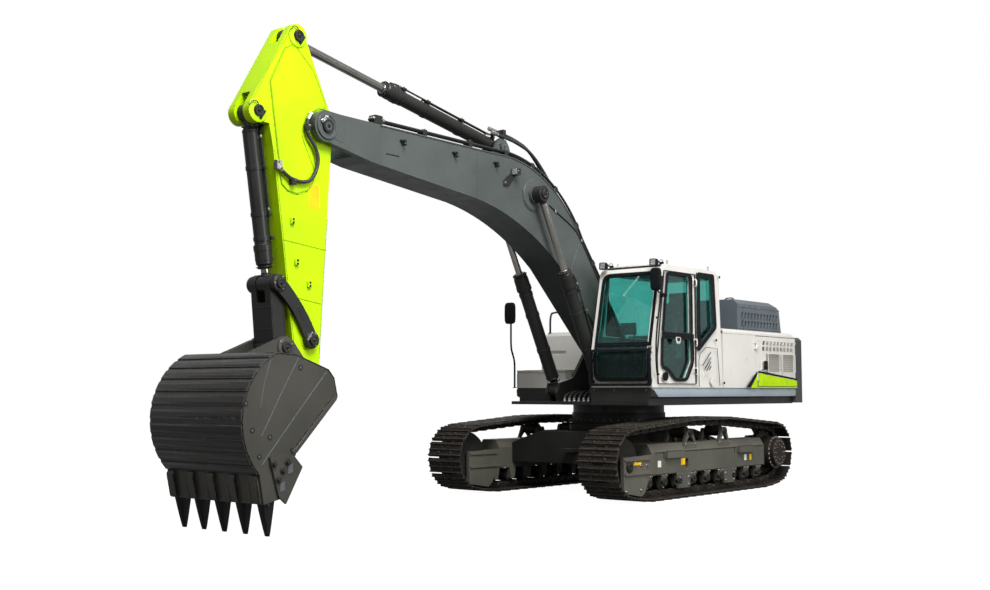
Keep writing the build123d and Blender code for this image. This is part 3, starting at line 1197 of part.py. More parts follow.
def build_all():
    """Make every piece of the machine."""
    for suffix, sign in (("left", 1), ("right", -1)):
        y = sign * GAUGE_HALF
        track(f"track_{suffix}", y)
        idler(f"idler_{suffix}", y)
        sprocket(f"sprocket_{suffix}", y, sign)
        rollers(f"rollers_{suffix}", y)
        track_frame(f"track_frame_{suffix}", y, sign)
    car_body()
    swing_bearing()
    upper_frame()
    counterweight()
    cab_shell()
    cab_glass()
    cab_interior()
    cab_door()
    cab_door_glass()
    cab_guard()
    mirrors_and_lamps()
    rear_body()
    engine_block()
    engine_hood()
    left_rear_door()
    right_pump_door()
    fuel_tank()
    tool_box()
    tool_box_lid()
    boom_box()
    boom_pipes()
    for name, foot, eye, y, outer, bore, rod, gland_end, inner_end, eye_radius in CYLINDERS:
        cylinder(name, foot, eye, y, outer, bore, rod, gland_end, eye_radius)
        piston_rod(name.replace("cylinder", "rod"), foot, eye, y, rod, inner_end, eye_radius)
    arm_box()
    arm_hoses()
    rockers()
    bucket_link()
    bucket_shell()
    bucket_teeth()


build_all()
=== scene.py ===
import json
import math
import bpy
import numpy as np
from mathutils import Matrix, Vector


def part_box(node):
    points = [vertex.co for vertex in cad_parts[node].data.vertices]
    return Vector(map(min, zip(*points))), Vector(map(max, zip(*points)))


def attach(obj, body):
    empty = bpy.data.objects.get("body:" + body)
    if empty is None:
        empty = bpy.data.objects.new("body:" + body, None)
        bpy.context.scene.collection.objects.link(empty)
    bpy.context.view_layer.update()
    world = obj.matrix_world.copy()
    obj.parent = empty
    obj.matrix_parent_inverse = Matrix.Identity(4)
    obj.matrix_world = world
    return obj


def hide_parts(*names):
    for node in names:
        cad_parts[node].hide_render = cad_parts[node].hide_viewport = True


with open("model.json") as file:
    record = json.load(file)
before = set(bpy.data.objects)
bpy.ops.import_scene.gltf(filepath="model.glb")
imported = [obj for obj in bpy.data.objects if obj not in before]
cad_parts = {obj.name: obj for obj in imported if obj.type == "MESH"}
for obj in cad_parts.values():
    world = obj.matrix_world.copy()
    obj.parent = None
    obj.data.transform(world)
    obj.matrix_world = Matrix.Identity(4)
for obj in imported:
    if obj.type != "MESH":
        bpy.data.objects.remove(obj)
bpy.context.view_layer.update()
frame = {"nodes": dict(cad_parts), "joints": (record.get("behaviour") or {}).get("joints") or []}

# ------------------------------------------------------------------ places, in metres
joint_at = {j["name"]: np.array(j["pos_m"]) for j in frame["joints"] if "pos_m" in j}
BOOM_FOOT = joint_at["boom_lift"]
BOOM_TIP = joint_at["arm_crowd"]
BUCKET_PIN = joint_at["bucket_curl"]
ROCKER_PIN = joint_at["rocker_turn"]
LINK_PIN = joint_at["bucket_link_turn"]
ARM_CYLINDER_FOOT = joint_at["arm_cylinder_tilt"]
BUCKET_CYLINDER_FOOT = joint_at["bucket_cylinder_tilt"]
BOOM_CYLINDER_FOOT = joint_at["boom_cylinder_left_tilt"]
LOW, HIGH = {n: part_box(n)[0] for n in frame["nodes"]}, {n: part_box(n)[1] for n in frame["nodes"]}
EYE_RADIUS, EYE_HALF, EYE_BORE = 0.105, 0.062, 0.05      # eyes of the large cylinders: outside, half width, pin
BOOM_CYLINDER_Y = 0.388                       # a boom cylinder's distance from the middle plane
ARM_EYE = np.array((HIGH["arm_rod"].x - EYE_RADIUS, 0, HIGH["arm_rod"].z - EYE_RADIUS))
BOOM_EYE = np.array((HIGH["boom_rod_left"].x - EYE_RADIUS, BOOM_CYLINDER_Y, HIGH["boom_rod_left"].z - EYE_RADIUS))
BUCKET_LINK_PIN = np.array((6.7, 0, 1.903))
SIDE = HIGH["rear_body"].y                    # outer face of cab, doors and house
DECK = LOW["cab_shell"].z
ROUND = 2 * math.pi
AHEAD, LEFT, UP = (1, 0, 0), (0, 1, 0), (0, 0, 1)


# ------------------------------------------------------------------ camera, light, floor
def look_from(place, yaw, pitch, lens):
    """Camera at a place, turned to a heading and a rise in degrees."""
    data = bpy.data.cameras.new("camera")
    data.lens = lens
    data.sensor_width = 36
    data.clip_end = 500
    camera = bpy.data.objects.new("camera", data)
    bpy.context.scene.collection.objects.link(camera)
    camera.location = place
    camera.rotation_euler = (math.radians(90 + pitch), 0, math.radians(90 + yaw))
    bpy.context.scene.camera = camera


look_from((15.25, 10.12, 1.44), 39.35, 4.53, 44.19)


def studio_lamp(name, place, target, size, watts):
    """Square soft lamp that faces a target."""
    data = bpy.data.lights.new(name, "AREA")
    data.size = size
    data.energy = watts
    lamp = bpy.data.objects.new(name, data)
    bpy.context.scene.collection.objects.link(lamp)
    lamp.location = place
    aim = np.array(target, float) - np.array(place, float)
    lamp.rotation_euler = (
        math.atan2(math.hypot(aim[0], aim[1]), -aim[2]), 0, math.atan2(aim[1], aim[0]) - math.pi / 2)


studio_lamp("key_lamp", (8, 8, 13), (1, 0, 1.5), 7, 2900)
studio_lamp("side_lamp", (1, 15, 6), (0, 0, 1.5), 8, 1250)
studio_lamp("front_lamp", (18, 4, 6), (3, 0, 2), 6, 190)
studio_lamp("rear_lamp", (-12, -8, 9), (0, 0, 2), 8, 900)


# ------------------------------------------------------------------ materials
class Recipe:
    """Node tree of one material, with short calls for the nodes that a finish needs."""

    def __init__(self, name):
        self.material = bpy.data.materials.new(name)
        self.material.use_nodes = True
        self.tree = self.material.node_tree
        self.shader = self.tree.nodes["Principled BSDF"]
        self.place = self.node("ShaderNodeTexCoord")

    def node(self, kind, **settings):
        """New node of a kind, with its settings."""
        made = self.tree.nodes.new(kind)
        for key, value in settings.items():
            setattr(made, key, value)
        return made

    def link(self, source, target):
        """Wire from one socket to another."""
        self.tree.links.new(source, target)

    def noise(self, scale, detail=3.0, stretch=(1, 1, 1)):
        """Cloudy pattern from 0 to 1 on object coordinates; scale is in cycles a metre."""
        turn = self.node("ShaderNodeMapping")
        turn.inputs["Scale"].default_value = stretch
        self.link(self.place.outputs["Object"], turn.inputs["Vector"])
        cloud = self.node("ShaderNodeTexNoise")
        cloud.inputs["Scale"].default_value = scale
        cloud.inputs["Detail"].default_value = detail
        self.link(turn.outputs["Vector"], cloud.inputs["Vector"])
        return cloud.outputs["Fac"]

    def ramp(self, source, low, high, out_low=0.0, out_high=1.0):
        """Source taken from low..high to out_low..out_high, held at the ends."""
        between = self.node("ShaderNodeMapRange")
        for socket, value in zip(("From Min", "From Max", "To Min", "To Max"), (low, high, out_low, out_high)):
            between.inputs[socket].default_value = value
        self.link(source, between.inputs["Value"])
        return between.outputs["Result"]

    def math(self, operation, a, b):
        """One sum of two sockets or numbers."""
        step = self.node("ShaderNodeMath", operation=operation)
        for socket, value in zip(step.inputs, (a, b)):
            if isinstance(value, (int, float)):
                socket.default_value = value
            else:
                self.link(value, socket)
        return step.outputs["Value"]

    def mix(self, share, a, b):
        """Colour a turning to colour b by share."""
        blend = self.node("ShaderNodeMix", data_type="RGBA")
        self.link(share, blend.inputs["Factor"])
        for socket, value in ((blend.inputs[6], a), (blend.inputs[7], b)):
            if isinstance(value, tuple):
                socket.default_value = (*value, 1)
            else:
                self.link(value, socket)
        return blend.outputs[2]

    def upward(self):
        """How far a face looks up, from 0 to 1."""
        parts = self.node("ShaderNodeSeparateXYZ")
        self.link(self.place.outputs["Normal"], parts.inputs["Vector"])
        return self.ramp(parts.outputs["Z"], 0.15, 1.0)

    def soft_edges(self, radius):
        """Normal that rounds every edge by a radius, and how near a point lies to an outer edge."""
        rounder = self.node("ShaderNodeBevel", samples=4)
        rounder.inputs["Radius"].default_value = radius
        flat = self.node("ShaderNodeNewGeometry")
        turn = self.node("ShaderNodeVectorMath", operation="DOT_PRODUCT")
        self.link(rounder.outputs["Normal"], turn.inputs[0])
        self.link(flat.outputs["Normal"], turn.inputs[1])
        return rounder.outputs["Normal"], self.ramp(turn.outputs["Value"], 0.995, 0.8)

    def bump(self, source, strength, distance, normal=None):
        """Normal tilted by a pattern's relief; distance is in metres."""
        relief = self.node("ShaderNodeBump")
        relief.inputs["Strength"].default_value = strength
        relief.inputs["Distance"].default_value = distance
        self.link(source, relief.inputs["Height"])
        if normal is not None:
            self.link(normal, relief.inputs["Normal"])
        return relief.outputs["Normal"]

    def set(self, colour, roughness, normal=None, **values):
        """Colour, roughness and normal as numbers or sockets, and any other value by its name; gives the material."""
        for socket, value in (("Base Color", colour), ("Roughness", roughness), ("Normal", normal)):
            if value is None:
                continue
            if isinstance(value, tuple):
                self.shader.inputs[socket].default_value = (*value, 1)
            elif isinstance(value, (int, float)):
                self.shader.inputs[socket].default_value = value
            else:
                self.link(value, self.shader.inputs[socket])
        for socket, value in values.items():
            self.shader.inputs[socket.replace("_", " ")].default_value = value
        return self.material


def paint(name, colour, shade, roughness, coat=0.0, edge=None, edge_share=0.5, dust=(0.3, 0.27, 0.22),
          dust_share=0.12, peel=0.05, specular=0.5):
    """Machine paint: two close tones in clouds, dust on what looks up, chipped edges and a slight orange peel."""
    r = Recipe(name)
    tone = r.mix(r.ramp(r.noise(1.7), 0.35, 0.65), colour, shade)
    specks = r.ramp(r.noise(38, 4), 0.42, 0.68)
    dusty = r.math("MULTIPLY", r.math("MULTIPLY", r.upward(), specks), dust_share)
    tone = r.mix(dusty, tone, dust)
    normal, near_edge = r.soft_edges(0.005)
    if edge:
        worn = r.math("MULTIPLY", r.math("MULTIPLY", near_edge, r.ramp(r.noise(24, 4), 0.46, 0.6)), edge_share)
        tone = r.mix(worn, tone, edge)
    dull = r.ramp(r.noise(6, 4), 0.3, 0.7, roughness * 0.85, min(1.0, roughness * 1.2))
    normal = r.bump(r.noise(260, 1), peel, 0.001, normal)
    return r.set(tone, dull, normal, Coat_Weight=coat, Coat_Roughness=0.12, Specular_IOR_Level=specular)


WHITE = paint("white_paint", (0.72, 0.7, 0.655), (0.665, 0.648, 0.6), 0.32, 0.35, dust_share=0.1)
LIME = paint(
    "lime_paint", (0.5, 0.8, 0.001), (0.44, 0.72, 0.001), 0.34, 0.12, (0.2, 0.24, 0.05), 0.2, dust_share=0.03,
    specular=0.12)
# painted shade: a darker copy of the lime paint, standing for the shadow along the arm's seams and the doubler's rim
LIME_PAINTED_SHADE = paint(
    "lime_paint_shaded", (0.27, 0.46, 0.001), (0.22, 0.38, 0.001), 0.38, 0.1, dust_share=0.03, specular=0.15)
SLATE = paint(
    "slate_paint", (0.075, 0.088, 0.083), (0.06, 0.07, 0.067), 0.4, 0.15, (0.2, 0.2, 0.19), 0.35, specular=0.22)
HOOD_GREY = paint(
    "hood_paint", (0.105, 0.125, 0.14), (0.085, 0.102, 0.116), 0.38, 0.2, (0.18, 0.2, 0.22), 0.35, specular=0.3)
GRILLE_GREY = paint("grille_paint", (0.4, 0.385, 0.34), (0.33, 0.32, 0.28), 0.45, specular=0.2)
WEIGHT_GREY = paint("counterweight_paint", (0.055, 0.058, 0.056), (0.043, 0.046, 0.045), 0.42, 0.1,
                    (0.2, 0.2, 0.19), 0.3, peel=0.25, specular=0.2)
BLACK = paint(
    "black_paint", (0.02, 0.021, 0.019), (0.014, 0.015, 0.0135), 0.4, 0.15, (0.16, 0.155, 0.15), 0.45, specular=0.2)
FRAME_PAINT = paint("frame_paint", (0.02, 0.02, 0.018), (0.013, 0.013, 0.012), 0.46, 0.0, (0.17, 0.15, 0.12), 0.5,
                    dust=(0.2, 0.16, 0.11), dust_share=0.35, peel=0.15, specular=0.12)
TRACK_FRAME_PAINT = paint(
    "track_frame_paint", (0.105, 0.101, 0.082), (0.08, 0.078, 0.064), 0.46, 0.0, (0.19, 0.17, 0.14), 0.5,
    specular=0.15)
SKIRT_GREY = paint("skirt_paint", (0.27, 0.32, 0.35), (0.23, 0.275, 0.305), 0.36, 0.2, specular=0.3)
# wear strips: near-black paint in two tones mixed in clouds; the brown tone is the paint's own, the bluish one is a
# painted reflection of the sky
BUCKET_STRIP_AND_SKY_REFLECTION = paint(
    "bucket_strip_paint", (0.007, 0.01, 0.016), (0.01, 0.0075, 0.004), 0.3, 0.12, (0.16, 0.15, 0.14), 0.35,
    specular=0.35)
BUCKET_PAINT = paint("bucket_paint", (0.058, 0.056, 0.046), (0.044, 0.043, 0.036), 0.4, 0.1, (0.22, 0.2, 0.17), 0.45,
                     dust=(0.11, 0.1, 0.12), dust_share=0.5, peel=0.12, specular=0.2)
TOOTH_STEEL = paint("tooth_paint", (0.014, 0.014, 0.0145), (0.009, 0.009, 0.009), 0.45, 0.0, (0.3, 0.28, 0.25), 0.6,
                    peel=0.3, specular=0.15)
DARK_TRIM = paint("dark_trim", (0.008, 0.009, 0.01), (0.006, 0.007, 0.008), 0.55, peel=0.2, specular=0.1)


def worn_steel(name, colour, rust, bright, roughness, metal, bright_share, specular=0.4):
    """Bare steel: rusty hollows, brighter rubbed edges, and a cast grain."""
    r = Recipe(name)
    tone = r.mix(r.ramp(r.noise(5, 4), 0.4, 0.66), colour, rust)
    normal, near_edge = r.soft_edges(0.006)
    rubbed = r.math("MULTIPLY", r.math("MULTIPLY", near_edge, r.ramp(r.noise(30, 3), 0.36, 0.55)), bright_share)
    tone = r.mix(rubbed, tone, bright)
    dull = r.ramp(r.noise(18, 4), 0.3, 0.7, roughness * 0.8, min(1.0, roughness * 1.25))
    return r.set(
        tone, dull, r.bump(r.noise(90, 4), 0.35, 0.0015, normal), Metallic=metal, Specular_IOR_Level=specular)


TRACK_STEEL = worn_steel(
    "track_steel", (0.02, 0.018, 0.0165), (0.032, 0.025, 0.019), (0.34, 0.3, 0.25), 0.5, 0.3, 0.8, 0.15)
BOLT_STEEL = worn_steel("bolt_steel", (0.16, 0.15, 0.14), (0.12, 0.1, 0.08), (0.45, 0.44, 0.42), 0.38, 0.8, 0.8)
ZINC = worn_steel("zinc_fittings", (0.42, 0.42, 0.41), (0.34, 0.33, 0.31), (0.65, 0.65, 0.63), 0.3, 0.9, 0.6)


def chrome_rod():
    """Hard chrome with fine scratches round the rod."""
    r = Recipe("chrome")
    tone = r.mix(r.ramp(r.noise(3), 0.4, 0.6), (0.4, 0.385, 0.35), (0.33, 0.315, 0.29))
    dull = r.ramp(r.noise(60, 3, (1, 1, 0.3)), 0.3, 0.7, 0.1, 0.22)
    return r.set(tone, dull, r.bump(r.noise(400, 1), 0.03, 0.0005), Metallic=1.0)


CHROME = chrome_rod()


def tinted_glass(name, tint):
    """Green safety glass: light passes and takes the tint, which a faint film of dust varies."""
    r = Recipe(name)
    tone = r.mix(r.ramp(r.noise(1.2), 0.3, 0.7), tint, tuple(0.86 * c for c in tint))
    return r.set(tone, r.ramp(r.noise(5), 0.3, 0.7, 0.0, 0.03), Transmission_Weight=1.0, IOR=1.45)


GLASS = tinted_glass("tinted_glass", (0.22, 0.62, 0.57))


def rubber(name, colour, roughness=0.65):
    """Hose and seal rubber with a fine cloth impression."""
    r = Recipe(name)
    tone = r.mix(r.ramp(r.noise(14), 0.4, 0.6), colour, tuple(1.5 * c for c in colour))
    return r.set(
        tone, r.ramp(r.noise(30), 0.3, 0.7, roughness * 0.8, roughness), r.bump(r.noise(500, 1), 0.25, 0.0005))


RUBBER = rubber("black_rubber", (0.014, 0.014, 0.015))
CAB_PLASTIC = rubber("cab_plastic", (0.06, 0.066, 0.068), 0.6)
ENGINE_IRON = worn_steel("engine_iron", (0.06, 0.06, 0.06), (0.08, 0.06, 0.05), (0.2, 0.2, 0.2), 0.55, 0.6, 0.4)


def plain_mark(name, colour):
    """Film label without print: one colour with slight fading."""
    r = Recipe(name)
    return r.set(
        r.mix(r.ramp(r.noise(9), 0.35, 0.65), colour, tuple(0.86 * c for c in colour)), 0.4, Specular_IOR_Level=0.12)


YELLOW_LABEL = plain_mark("yellow_label", (0.9, 0.56, 0.012))
WHITE_LABEL = plain_mark("white_label", (0.78, 0.76, 0.68))
WELD_GREY = plain_mark("weld_seam", (0.105, 0.115, 0.125))
RED_LABEL = plain_mark("red_label", (0.62, 0.03, 0.02))
LIME_FILM = plain_mark("lime_film", (0.46, 0.72, 0.003))


def lamp_lens():
    """Clear ribbed lens over a bright reflector."""
    r = Recipe("lamp_lens")
    ribs = r.node("ShaderNodeTexWave", wave_type="BANDS", bands_direction="Y")
    ribs.inputs["Scale"].default_value = 90
    r.link(r.place.outputs["Object"], ribs.inputs["Vector"])
    tone = r.mix(ribs.outputs["Fac"], (0.7, 0.72, 0.74), (0.42, 0.45, 0.48))
    return r.set(tone, 0.12, r.bump(ribs.outputs["Fac"], 0.3, 0.002), Metallic=0.6, Coat_Weight=1.0)


LAMP_LENS = lamp_lens()
MIRROR = plain_mark("mirror_glass", (0.55, 0.58, 0.6))
MIRROR.node_tree.nodes["Principled BSDF"].inputs["Metallic"].default_value = 1.0

FINISH_OF = {
    TRACK_STEEL: "track sprocket", TRACK_FRAME_PAINT: "track_frame", GLASS: "cab_glass cab_door_glass",
    FRAME_PAINT: "idler rollers car_body swing_bearing", WEIGHT_GREY: "counterweight", CAB_PLASTIC: "cab_interior",
    BLACK: "upper_frame boom_pipes boom_cylinder arm_cylinder bucket_cylinder rockers bucket_link",
    WHITE: "cab_shell cab_door rear_body left_rear_door right_pump_door fuel_tank tool_box tool_box_lid",
    DARK_TRIM: "cab_guard mirrors_and_lamps", ENGINE_IRON: "engine_block", HOOD_GREY: "engine_hood",
    SLATE: "boom_box", CHROME: "boom_rod arm_rod bucket_rod", LIME: "arm_box", BUCKET_PAINT: "bucket_shell",
    TOOTH_STEEL: "bucket_teeth", RUBBER: "arm_hoses",
}
node_finish = {kind: finish for finish, kinds in FINISH_OF.items() for kind in kinds.split()}
for node_name, node in frame["nodes"].items():
    node.data.materials.clear()
    node.data.materials.append(node_finish[node_name.removesuffix("_left").removesuffix("_right")])


# ------------------------------------------------------------------ shapes as arrays
def cells(rows, columns, rows_close=False, columns_close=False):
    """Corner numbers of every cell in a grid of points, as one array of quads."""
    i = np.arange(rows if rows_close else rows - 1)[:, None]
    j = np.arange(columns if columns_close else columns - 1)[None, :]
    after_i, after_j = (i + 1) % rows, (j + 1) % columns
    return np.stack([i * columns + j, i * columns + after_j, after_i * columns + after_j, after_i * columns + j],
                    -1).reshape(-1, 4)


def skin(rings):
    """Closed rings of points carried one after another: cells between neighbours and a flat face on both ends.

    A shell whose volume comes out negative is turned, so that its faces point outwards."""
    rings = np.asarray(rings, float)
    rows, columns = rings.shape[:2]
    faces = cells(rows, columns, columns_close=True)
    points = rings.reshape(-1, 3)
    a, b, c, d = (points[faces[:, k]] - points[0] for k in range(4))
    volume = np.einsum("ij,ij->", a, np.cross(b, c)) + np.einsum("ij,ij->", a, np.cross(c, d))
    for ring, way in ((rings[0], -1), (rings[-1], 1)):
        p, q = ring - points[0], np.roll(ring, -1, 0) - points[0]
        volume += way * np.einsum("j,ij->", ring.mean(0) - points[0], np.cross(p, q))
    polygons = faces.tolist() + [list(range(columns))[::-1], list(range((rows - 1) * columns, rows * columns))]
    if volume < 0:
        polygons = [polygon[::-1] for polygon in polygons]
    return points, polygons


def rounded(outline, radius, steps=3):
    """Outline whose corners turn in a parabola, from a radius before the corner to a radius after it."""
    p = np.asarray(outline, float)
    before, after = np.roll(p, 1, 0) - p, np.roll(p, -1, 0) - p
    reach_b, reach_a = np.linalg.norm(before, axis=1)[:, None], np.linalg.norm(after, axis=1)[:, None]
    r = np.minimum(radius, 0.45 * np.minimum(reach_a, reach_b))
    start, end = p + before / reach_b * r, p + after / reach_a * r
    t = np.linspace(0, 1, steps + 1)[None, :, None]
    curve = start[:, None] * (1 - t) ** 2 + p[:, None] * 2 * t * (1 - t) + end[:, None] * t ** 2
    return curve.reshape(-1, 2)


def inset(outline, amount):
    """Outline moved inwards: each corner goes along the sum of its two edge normals over one plus their product."""
    p = np.asarray(outline, float)
    area = np.sum(p[:, 0] * np.roll(p[:, 1], -1) - np.roll(p[:, 0], -1) * p[:, 1])
    edge = np.roll(p, -1, 0) - p
    normal = np.stack([-edge[:, 1], edge[:, 0]], 1) / np.maximum(np.linalg.norm(edge, axis=1), 1e-9)[:, None]
    normal *= np.sign(area)
    last = np.roll(normal, 1, 0)
    share = np.maximum(1 + np.sum(normal * last, 1), 0.4)[:, None]
    return p + amount * (normal + last) / share


PLANES = {"side": (0, 2, 1), "top": (0, 1, 2), "front": (1, 2, 0)}      # two drawn axes, then the thickness


def slab(outline, low, high, plane="side", bevel=0.003, corner=0.0, steps=3):
    """Plate of any outline: rings at low, low + bevel, high - bevel and high, the outer two drawn in by the bevel."""
    flat = rounded(outline, corner, steps) if corner else np.asarray(outline, float)
    first, second, depth = PLANES[plane]
    drawn = inset(flat, bevel)
    rings = np.zeros((4, len(flat), 3))
    for row, (shape, level) in enumerate(((drawn, low), (flat, low + bevel), (flat, high - bevel), (drawn, high))):
        rings[row][:, first], rings[row][:, second], rings[row][:, depth] = shape[:, 0], shape[:, 1], level
    return skin(rings)


def span(middle, half):
    """Low and high coordinate round a middle."""
    return middle - half, middle + half


def box_outline(across, up):
    """Four corners of a rectangle between two pairs of coordinates."""
    (a, b), (c, d) = across, up
    return [(a, c), (b, c), (b, d), (a, d)]


def brick(x, y, z, bevel=0.003, corner=0.0, plane="top"):
    """Block between three pairs of coordinates, with bevelled edges."""
    spans = (x, y, z)
    first, second, depth = PLANES[plane]
    return slab(box_outline(sorted(spans[first]), sorted(spans[second])), *sorted(spans[depth]), plane, bevel, corner)


def outward(face, side, thick, sunk=0.0):
    """Levels of a plate on a face that looks to one side: sunk below it and thick above it, lower one first."""
    return sorted((face - side * sunk, face + side * thick))


def cross_axes(axis):
    """Two unit vectors square to an axis and to each other."""
    axis = np.asarray(axis, float) / np.linalg.norm(axis)
    helper = np.array((0, 0, 1.0)) if abs(axis[2]) < 0.9 else np.array((1.0, 0, 0))
    u = np.cross(helper, axis)
    u /= np.linalg.norm(u)
    return u, np.cross(axis, u), axis


def turned(profile, centre, axis, sides=32):
    """Body turned round an axis: centre + h axis + r (cos t u + sin t v) for each (h, r) of the profile."""
    u, v, w = cross_axes(axis)
    profile = np.asarray(profile, float)
    t = np.linspace(0, ROUND, sides, endpoint=False)
    circle = np.cos(t)[:, None] * u + np.sin(t)[:, None] * v
    rings = np.asarray(centre, float) + profile[:, 0, None, None] * w + profile[:, 1, None, None] * circle[None]
    return skin(rings)


def smooth(points, rounds=3):
    """Corner cutting: each run gives the points a quarter in from both its ends; the two outer points stay."""
    p = np.asarray(points, float)
    for _ in range(rounds):
        quarter = np.stack([0.75 * p[:-1] + 0.25 * p[1:], 0.25 * p[:-1] + 0.75 * p[1:]], 1).reshape(-1, p.shape[1])
        p = np.concatenate([p[:1], quarter, p[-1:]])
    return p


def pipe(points, radius, sides=10, rounds=3, swell=None):
    """Circle carried along a smoothed path; at each point it stands square to the path's slope.

    swell gives a radius factor for each share of the path's length."""
    path = smooth(points, rounds) if rounds else np.asarray(points, float)
    slope = np.gradient(path, axis=0)
    slope /= np.linalg.norm(slope, axis=1)[:, None]
    helper = np.eye(3)[np.argmin(np.ptp(path, axis=0))]
    u = np.cross(np.broadcast_to(helper, slope.shape), slope)
    u /= np.maximum(np.linalg.norm(u, axis=1), 1e-9)[:, None]
    v = np.cross(slope, u)
    t = np.linspace(0, ROUND, sides, endpoint=False)
    size = np.full(len(path), radius)
    if swell is not None:
        share = np.concatenate([[0], np.cumsum(np.linalg.norm(np.diff(path, axis=0), axis=1))])
        size = radius * swell(share / share[-1])
    rings = path[:, None] + size[:, None, None] * (np.cos(t)[:, None] * u[:, None] + np.sin(t)[:, None] * v[:, None])
    return skin(rings)


def bead(points, radius, ripple=0.006):
    """Weld seam: a thin tube along even stations, one for each two ripples, whose radius swells and falls by 0.18."""
    p = np.asarray(points, float)
    lengths = np.linalg.norm(np.diff(p, axis=0), axis=1)
    stations = np.concatenate([[0], np.cumsum(lengths)])
    count = int(min(220, max(6, stations[-1] / (ripple * 2))))
    s = np.linspace(0, stations[-1], count)
    path = np.stack([np.interp(s, stations, p[:, k]) for k in range(3)], 1)
    return pipe(path, radius, 6, 0, lambda share: 1 + 0.18 * np.sin(share * count * 1.9))


def seam_round(centre, axis, radius, count):
    """Weld seam in a circle: centre + radius (cos t u + sin t v) square to an axis."""
    u, v, _ = cross_axes(axis)
    t = np.linspace(0, ROUND, count)[:, None]
    return bead(centre + radius * (np.cos(t) * u + np.sin(t) * v), 0.006, 0.008)


def bolt(centre, axis, size, washer=True):
    """Hexagon head with a chamfered crown on a round washer; the head is 0.62 of its width high."""
    thick = 0.62
    parts = [turned(
        [(0, size * 0.5), (size * thick * 0.8, size * 0.5), (size * thick, size * 0.42)], centre, axis, 6)]
    if washer:
        parts.append(turned([(0, size * 0.72), (size * 0.12, size * 0.72)], centre, axis, 14))
    return parts


def bolt_ring(centre, axis, radius, count, size, phase=0.0):
    """Bolts at equal angles round an axis."""
    u, v, w = cross_axes(axis)
    parts = []
    for angle in phase + ROUND * np.arange(count) / count:
        parts += bolt(np.asarray(centre) + radius * (math.cos(angle) * u + math.sin(angle) * v), w, size)
    return parts


def pin_cap(centre, side, radius, proud=0.022):
    """Pin's end with stepped rings and a grease nipple in the middle."""
    axis = (0, side, 0)
    profile = [(0, radius), (proud * 0.7, radius), (proud, radius - 0.004), (proud, radius * 0.62),
               (proud * 0.72, radius * 0.58), (proud * 0.72, radius * 0.34), (proud * 1.05, radius * 0.3),
               (proud * 1.05, radius * 0.08)]
    top = np.asarray(centre, float) + np.array((0, side * proud, 0))
    nipple = [(0, 0.011), (0.012, 0.01), (0.014, 0.005), (0.024, 0.005)]
    return [turned(profile, centre, axis, 36), turned(nipple, top, axis, 8)]


def lock_plate(centre, side, degrees, reach, width, thick, size):
    """Flat plate across a pin's edge, held by two bolts, at an angle round the pin."""
    cx, y, cz = centre
    angle = math.radians(degrees)
    along = np.array((math.cos(angle), math.sin(angle)))
    across = np.array((-along[1], along[0]))
    middle = np.array((cx, cz)) + along * reach
    half = 0.062
    outline = [middle + across * a * half + along * b * width / 2 for a, b in ((-1, -1), (1, -1), (1, 1), (-1, 1))]
    parts = [slab(outline, *outward(y, side, thick), "side", 0.002, 0.008)]
    for sign in (-1, 1):
        spot = middle + across * half * 0.62 * sign
        parts += bolt((spot[0], y + side * thick, spot[1]), (0, side, 0), size, False)
    return parts


def piece(name, body, groups, stands_for=(), soft_angle=40):
    """Object from groups of (material, shapes): points and faces put together, faces smooth up to an angle."""
    points, polygons, numbers, materials = [], [], [], []
    start = 0
    for number, (material, shapes) in enumerate(groups):
        materials.append(material)
        for spots, faces in shapes:
            points.append(np.asarray(spots, float))
            polygons += [[k + start for k in face] for face in faces]
            numbers += [number] * len(faces)
            start += len(spots)
    data = bpy.data.meshes.new(name)
    data.from_pydata(np.concatenate(points).tolist(), [], polygons)
    for material in materials:
        data.materials.append(material)
    data.polygons.foreach_set("material_index", numbers)
    data.polygons.foreach_set("use_smooth", [True] * len(polygons))
    data.set_sharp_from_angle(angle=math.radians(soft_angle))
    data.validate()
    made = bpy.data.objects.new(name, data)
    bpy.context.scene.collection.objects.link(made)
    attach(made, body)
    if stands_for:
        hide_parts(*stands_for)


def spread(outline, count):
    """Closed outline gone round in equal steps of its length."""
    p = np.asarray(outline, float)
    closed = np.concatenate([p, p[:1]])
    s = np.concatenate([[0], np.cumsum(np.linalg.norm(np.diff(closed, axis=0), axis=1))])
    at = np.linspace(0, s[-1], count, endpoint=False)
    return np.stack([np.interp(at, s, closed[:, k]) for k in range(p.shape[1])], 1)


def ring_of(outer, inner, low, high, place):
    """Frame between two outlines of equal count: a closed band over outer and inner edge at both levels.

    place turns drawn points and a level into points in space."""
    loops = np.stack([place(outer, low), place(outer, high), place(inner, high), place(inner, low)])
    rows, columns = loops.shape[:2]
    faces = cells(rows, columns, True, True)
    points = loops.reshape(-1, 3)
    a, b, c, d = (points[faces[:, k]] - points.mean(0) for k in range(4))
    volume = np.einsum("ij,ij->", a, np.cross(b, c)) + np.einsum("ij,ij->", a, np.cross(c, d))
    return points, (faces if volume > 0 else faces[:, ::-1]).tolist()


def side_path(points, y):
    """Side-view points set at one place across the machine."""
    points = np.asarray(points, float)
    return np.stack([points[:, 0], np.full(len(points), y), points[:, 1]], 1)


def weld(points, y, radius, ripple=0.006):
    """Weld seam along side-view points at one place across the machine."""
    return bead(side_path(points, y), radius, ripple)


def front_path(points, x):
    """Front-view points set at one place along the machine."""
    points = np.asarray(points, float)
    return np.stack([np.full(len(points), x), points[:, 0], points[:, 1]], 1)


def frame_on_side(outline, out_by, in_by, low, high, corner=0.06):
    """Window frame: the band between a pane's outline moved out and the same outline moved in."""
    outer = rounded(inset(outline, -out_by), corner + out_by, 5)
    inner = rounded(inset(outline, in_by), max(corner - in_by, 0.01), 5)
    return ring_of(outer, inner, low, high, side_path)


